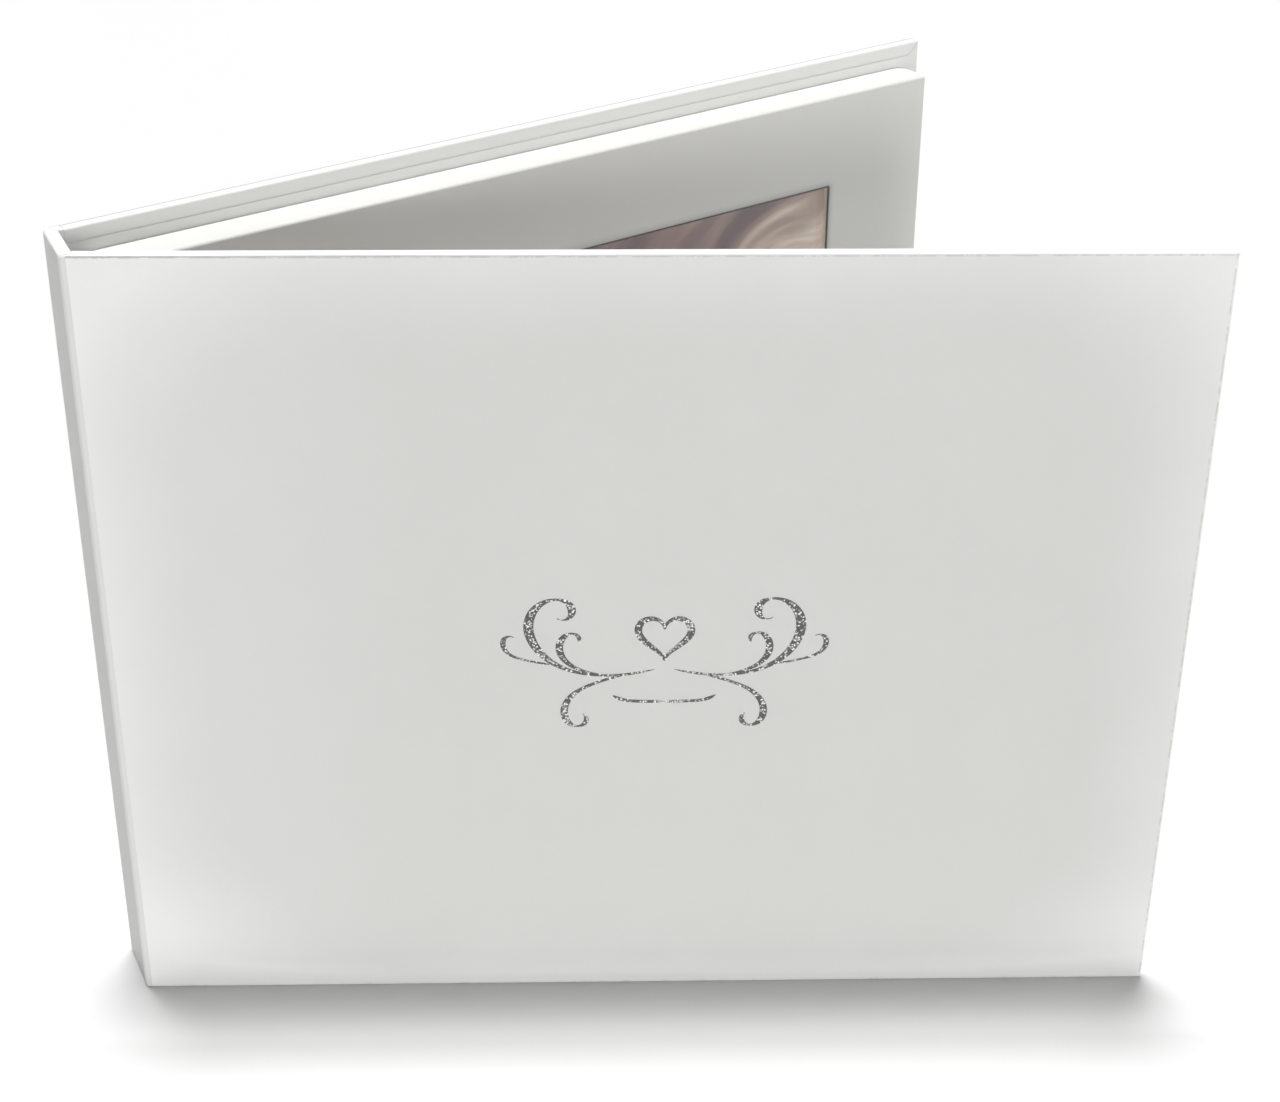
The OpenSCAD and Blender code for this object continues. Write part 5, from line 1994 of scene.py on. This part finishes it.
    def flakes(self, material: bpy.types.Material) -> GeometryRecipe:
        """Builds the tree that scatters tilted flakes over the foil.

        Args:
            material: The flakes' foil.

        Returns:
            The tree.
        """
        recipe = GeometryRecipe("foil_flakes", {
            "Density": ("NodeSocketFloat", self.flakes_per_mm2 / MM ** 2),
            "Flake Radius": ("NodeSocketFloat", self.flake_r * MM),
            "Tilt": ("NodeSocketFloat", self.flake_tilt), "Seed": ("NodeSocketInt", self.seed),
            "Material": ("NodeSocketMaterial", material)})
        g, given = recipe.graph, recipe.given
        seed, tilt = given["Seed"], given["Tilt"]
        up = g.split(g.add("GeometryNodeInputNormal"))[2]
        faces_up = g.add("FunctionNodeCompare", {0: up, 1: 0.5}, operation="GREATER_THAN", data_type="FLOAT")
        spots = g.add("GeometryNodeDistributePointsOnFaces", {
            "Mesh": given["Geometry"], "Selection": faces_up, "Density": given["Density"], "Seed": seed})
        flake = g.add("GeometryNodeMeshCylinder", {"Vertices": 5, "Radius": given["Flake Radius"],
                                                   "Depth": self.flake_t * MM})
        back = g.times(tilt, -1.0)
        turn = g.add("FunctionNodeRandomValue", {
            0: g.join(back, back, 0.0), 1: g.join(tilt, tilt, 2 * math.pi), "Seed": seed},
            data_type="FLOAT_VECTOR")
        smallest, largest = self.flake_sizes
        size = g.add("FunctionNodeRandomValue", {2: smallest, 3: largest, "Seed": seed}, data_type="FLOAT")
        recipe.finish(g.add("GeometryNodeInstanceOnPoints", {
            "Points": spots, "Instance": flake, "Rotation": turn, "Scale": size.outputs[1]}))
        return recipe

    def build(self) -> None:
        """Builds the foil and its flakes, and lays them on the front cover."""
        foil = FoilFinish("glitter_foil", "plated_steel", colour("5c5c5b"), 0.4, bright=colour("c9c9c8"),
                          share=0.22, metal=0.35)
        flake = FoilFinish("glitter_flakes", "plated_steel", colour("f4f4f3"), 0.3, bright=colour("ffffff"),
                           share=0.6, metal=0.1)
        piece = self.ribbon(self.shop.material(foil)).run(self.drawing())
        flakes = self.flakes(self.shop.material(flake)).run(link("flourish_flakes", piece.data.copy()))
        place = self.book.front.face_matrix(*self.centre)
        for part, finish in ((piece, foil), (flakes, flake)):
            part.data.transform(place)
            self.shop.hand_in(part, finish, "front_cover")


@dataclass(frozen=True)
class PhotoCamera:
    """The photograph's camera.

    Attributes:
        place: Where it stands, in millimetres.
        yaw: Turn of its view from +Y towards +X, in degrees.
        pitch: How far it looks down, in degrees.
        roll: Turn about its view, in degrees.
        focal: Focal length in pixels of the photograph.
        image_width: Width of the photograph in pixels.
        clip: Nearest and furthest distance that it sees, in metres.
    """

    place: Triple = (-256.379, -328.548, 325.515)
    yaw: float = 36.005
    pitch: float = 28.808
    roll: float = 0.384
    focal: float = 2340.19
    image_width: float = 1280.0
    clip: Point = (0.01, 20.0)

    def build(self) -> None:
        """Makes it the scene's camera."""
        data = bpy.data.cameras.new("photo_camera")
        data.sensor_fit = "HORIZONTAL"
        data.lens = self.focal / self.image_width * data.sensor_width
        data.clip_start, data.clip_end = self.clip
        turn = (Matrix.Rotation(-math.radians(self.yaw), 4, "Z")
                @ Matrix.Rotation(math.radians(90.0 - self.pitch), 4, "X")
                @ Matrix.Rotation(math.radians(self.roll), 4, "Z"))
        camera = link("photo_camera", data)
        camera.matrix_world = Matrix.Translation(Vector(self.place) * MM) @ turn
        bpy.context.scene.camera = camera


@dataclass
class Studio:
    """A plain white table under a soft overhead light.

    Attributes:
        book: Where the leaves stand.
        sky: Brightness of the surroundings as the object sees them.
        sun: Light that a level surface gets from the overhead lamp.
        sun_tilt: Lean of the lamp away from the front cover's face, in degrees.
        sun_shift: Lean of the lamp along the front cover towards its fold, as a slope.
        sun_size: Angle that the lamp spans, in degrees.
        fill: Light from the low lamp before the front cover.
        fill_from: Direction from the object to that lamp.
        fill_size: Angle that it spans, in degrees.
        side: Light from the low lamp at the open side.
        side_from: Direction from the object to that lamp.
        side_size: Angle that it spans, in degrees.
        strip: Power of the strip lamp on the table, in watts.
        strip_tilt: Tilt of the strip lamp up from the table, in degrees.
        strip_size: Its length and width in metres.
        strip_at: Its place in the front cover's plan: X, depth and height, in millimetres.
        floor_size: Width of the table in metres.
        floor_white: Reflected share of the light on the table.
        floor_glow: How much brighter the table looks than it is.
    """

    book: OpenBook
    sky: float = 0.1
    sun: float = 1.12
    sun_tilt: float = 6.5
    sun_shift: float = 0.026
    sun_size: float = 12.0
    fill: float = 0.336
    fill_from: Triple = (-0.3, -0.95, 0.09)
    fill_size: float = 16.0
    side: float = 0.24
    side_from: Triple = (0.91, -0.41, 0.1)
    side_size: float = 20.0
    strip: float = 0.0036
    strip_tilt: float = 20.0
    strip_size: Point = (0.24, 0.004)
    strip_at: Triple = (110.0, -21.0, 6.0)
    floor_size: float = 8.0
    floor_white: float = 0.8
    floor_glow: float = 0.005

    def build(self) -> None:
        """Sets up the world, the lamps, the table and the view's colours."""
        scene = bpy.context.scene
        scene.view_settings.view_transform = "Standard"
        self.world(scene)
        front = self.book.front
        lean = front.inward * math.tan(math.radians(self.sun_tilt)) - front.along * self.sun_shift
        self.lamp("overhead_lamp", lean + UP, self.sun, self.sun_size)
        self.lamp("front_fill", Vector(self.fill_from), self.fill, self.fill_size)
        self.lamp("side_fill", Vector(self.side_from), self.side, self.side_size)
        self.strip_lamp()
        self.table()
        log.info("studio ready")

    def seen(self, graph: Graph) -> Wire:
        """Tells rays that show the background from rays that light the object.

        Args:
            graph: The graph to add to.

        Returns:
            1 for rays from the camera, mirrors and glass, and 0 for the rest.
        """
        path = graph.add("ShaderNodeLightPath").outputs
        mirror = graph.calc("MAXIMUM", path["Is Glossy Ray"], path["Is Transmission Ray"])
        return graph.calc("MAXIMUM", path["Is Camera Ray"], mirror)

    def world(self, scene: bpy.types.Scene) -> None:
        """Makes white surroundings that light the object more softly than they look.

        Args:
            scene: The scene.
        """
        scene.world = bpy.data.worlds.new("white_room")
        graph = Graph.emptied(scene.world)
        strength = graph.times_plus(self.seen(graph), 1.0 - self.sky, self.sky)
        light = graph.add("ShaderNodeBackground", {"Color": WHITE, "Strength": strength})
        graph.add("ShaderNodeOutputWorld", {"Surface": light})

    def lamp(self, name: str, towards: Vector, light: float, size: float) -> None:
        """Adds a distant lamp.

        Args:
            name: The lamp's name.
            towards: Direction from the object to the lamp.
            light: Light on a surface that faces the lamp, where 1 shows white as white.
            size: Angle that the lamp spans, in degrees.
        """
        data = bpy.data.lights.new(name, "SUN")
        data.energy = light * math.pi
        data.angle = math.radians(size)
        link(name, data).rotation_euler = towards.to_track_quat("Z", "Y").to_euler()

    def strip_lamp(self) -> None:
        """Adds a long low lamp on the table that lights the foot of the front cover."""
        data = bpy.data.lights.new("strip_lamp", "AREA")
        data.shape = "RECTANGLE"
        data.size, data.size_y = self.strip_size
        data.energy = self.strip
        lamp = link("strip_lamp", data)
        lamp.location = self.book.front.at(*self.strip_at)
        aim = self.book.front.inward + UP * math.tan(math.radians(self.strip_tilt))
        lamp.rotation_euler = (-aim).to_track_quat("Z", "Y").to_euler()

    def table(self) -> None:
        """Makes the white table, a little brighter to the camera so that only shadows show."""
        half = self.floor_size / 2
        signs = ((-1, -1), (1, -1), (1, 1), (-1, 1))
        corners = [Vector((x * half, y * half, 0.0)) for x, y in signs]
        table = new_piece("white_table", corners, [(0, 1, 2, 3)])
        material = bpy.data.materials.new("white_table")
        graph = Graph.emptied(material)
        diffuse = graph.add("ShaderNodeBsdfDiffuse", {"Color": dimmed(WHITE, self.floor_white)})
        glow = graph.add("ShaderNodeEmission", {"Strength": graph.times(self.seen(graph), self.floor_glow)})
        both = graph.add("ShaderNodeAddShader", {0: diffuse, 1: glow})
        graph.add("ShaderNodeOutputMaterial", {"Surface": both})
        table.data.materials.append(material)


def main() -> None:
    """Builds the camera, the studio and every part of the book."""
    logging.basicConfig(level=logging.INFO, format="%(name)s: %(message)s")
    book = OpenBook()
    shop = Workshop()
    PhotoCamera().build()
    Studio(book).build()
    Case(shop, book).build()
    block = ScreenBlock(shop)
    block.build()
    Display(shop, block).build()
    Controls(shop).build()
    MainBoard(shop).build()
    Power(shop).build()
    Speaker(shop).build()
    Flourish(shop, book).build()


if __name__ == "__main__":
    main()
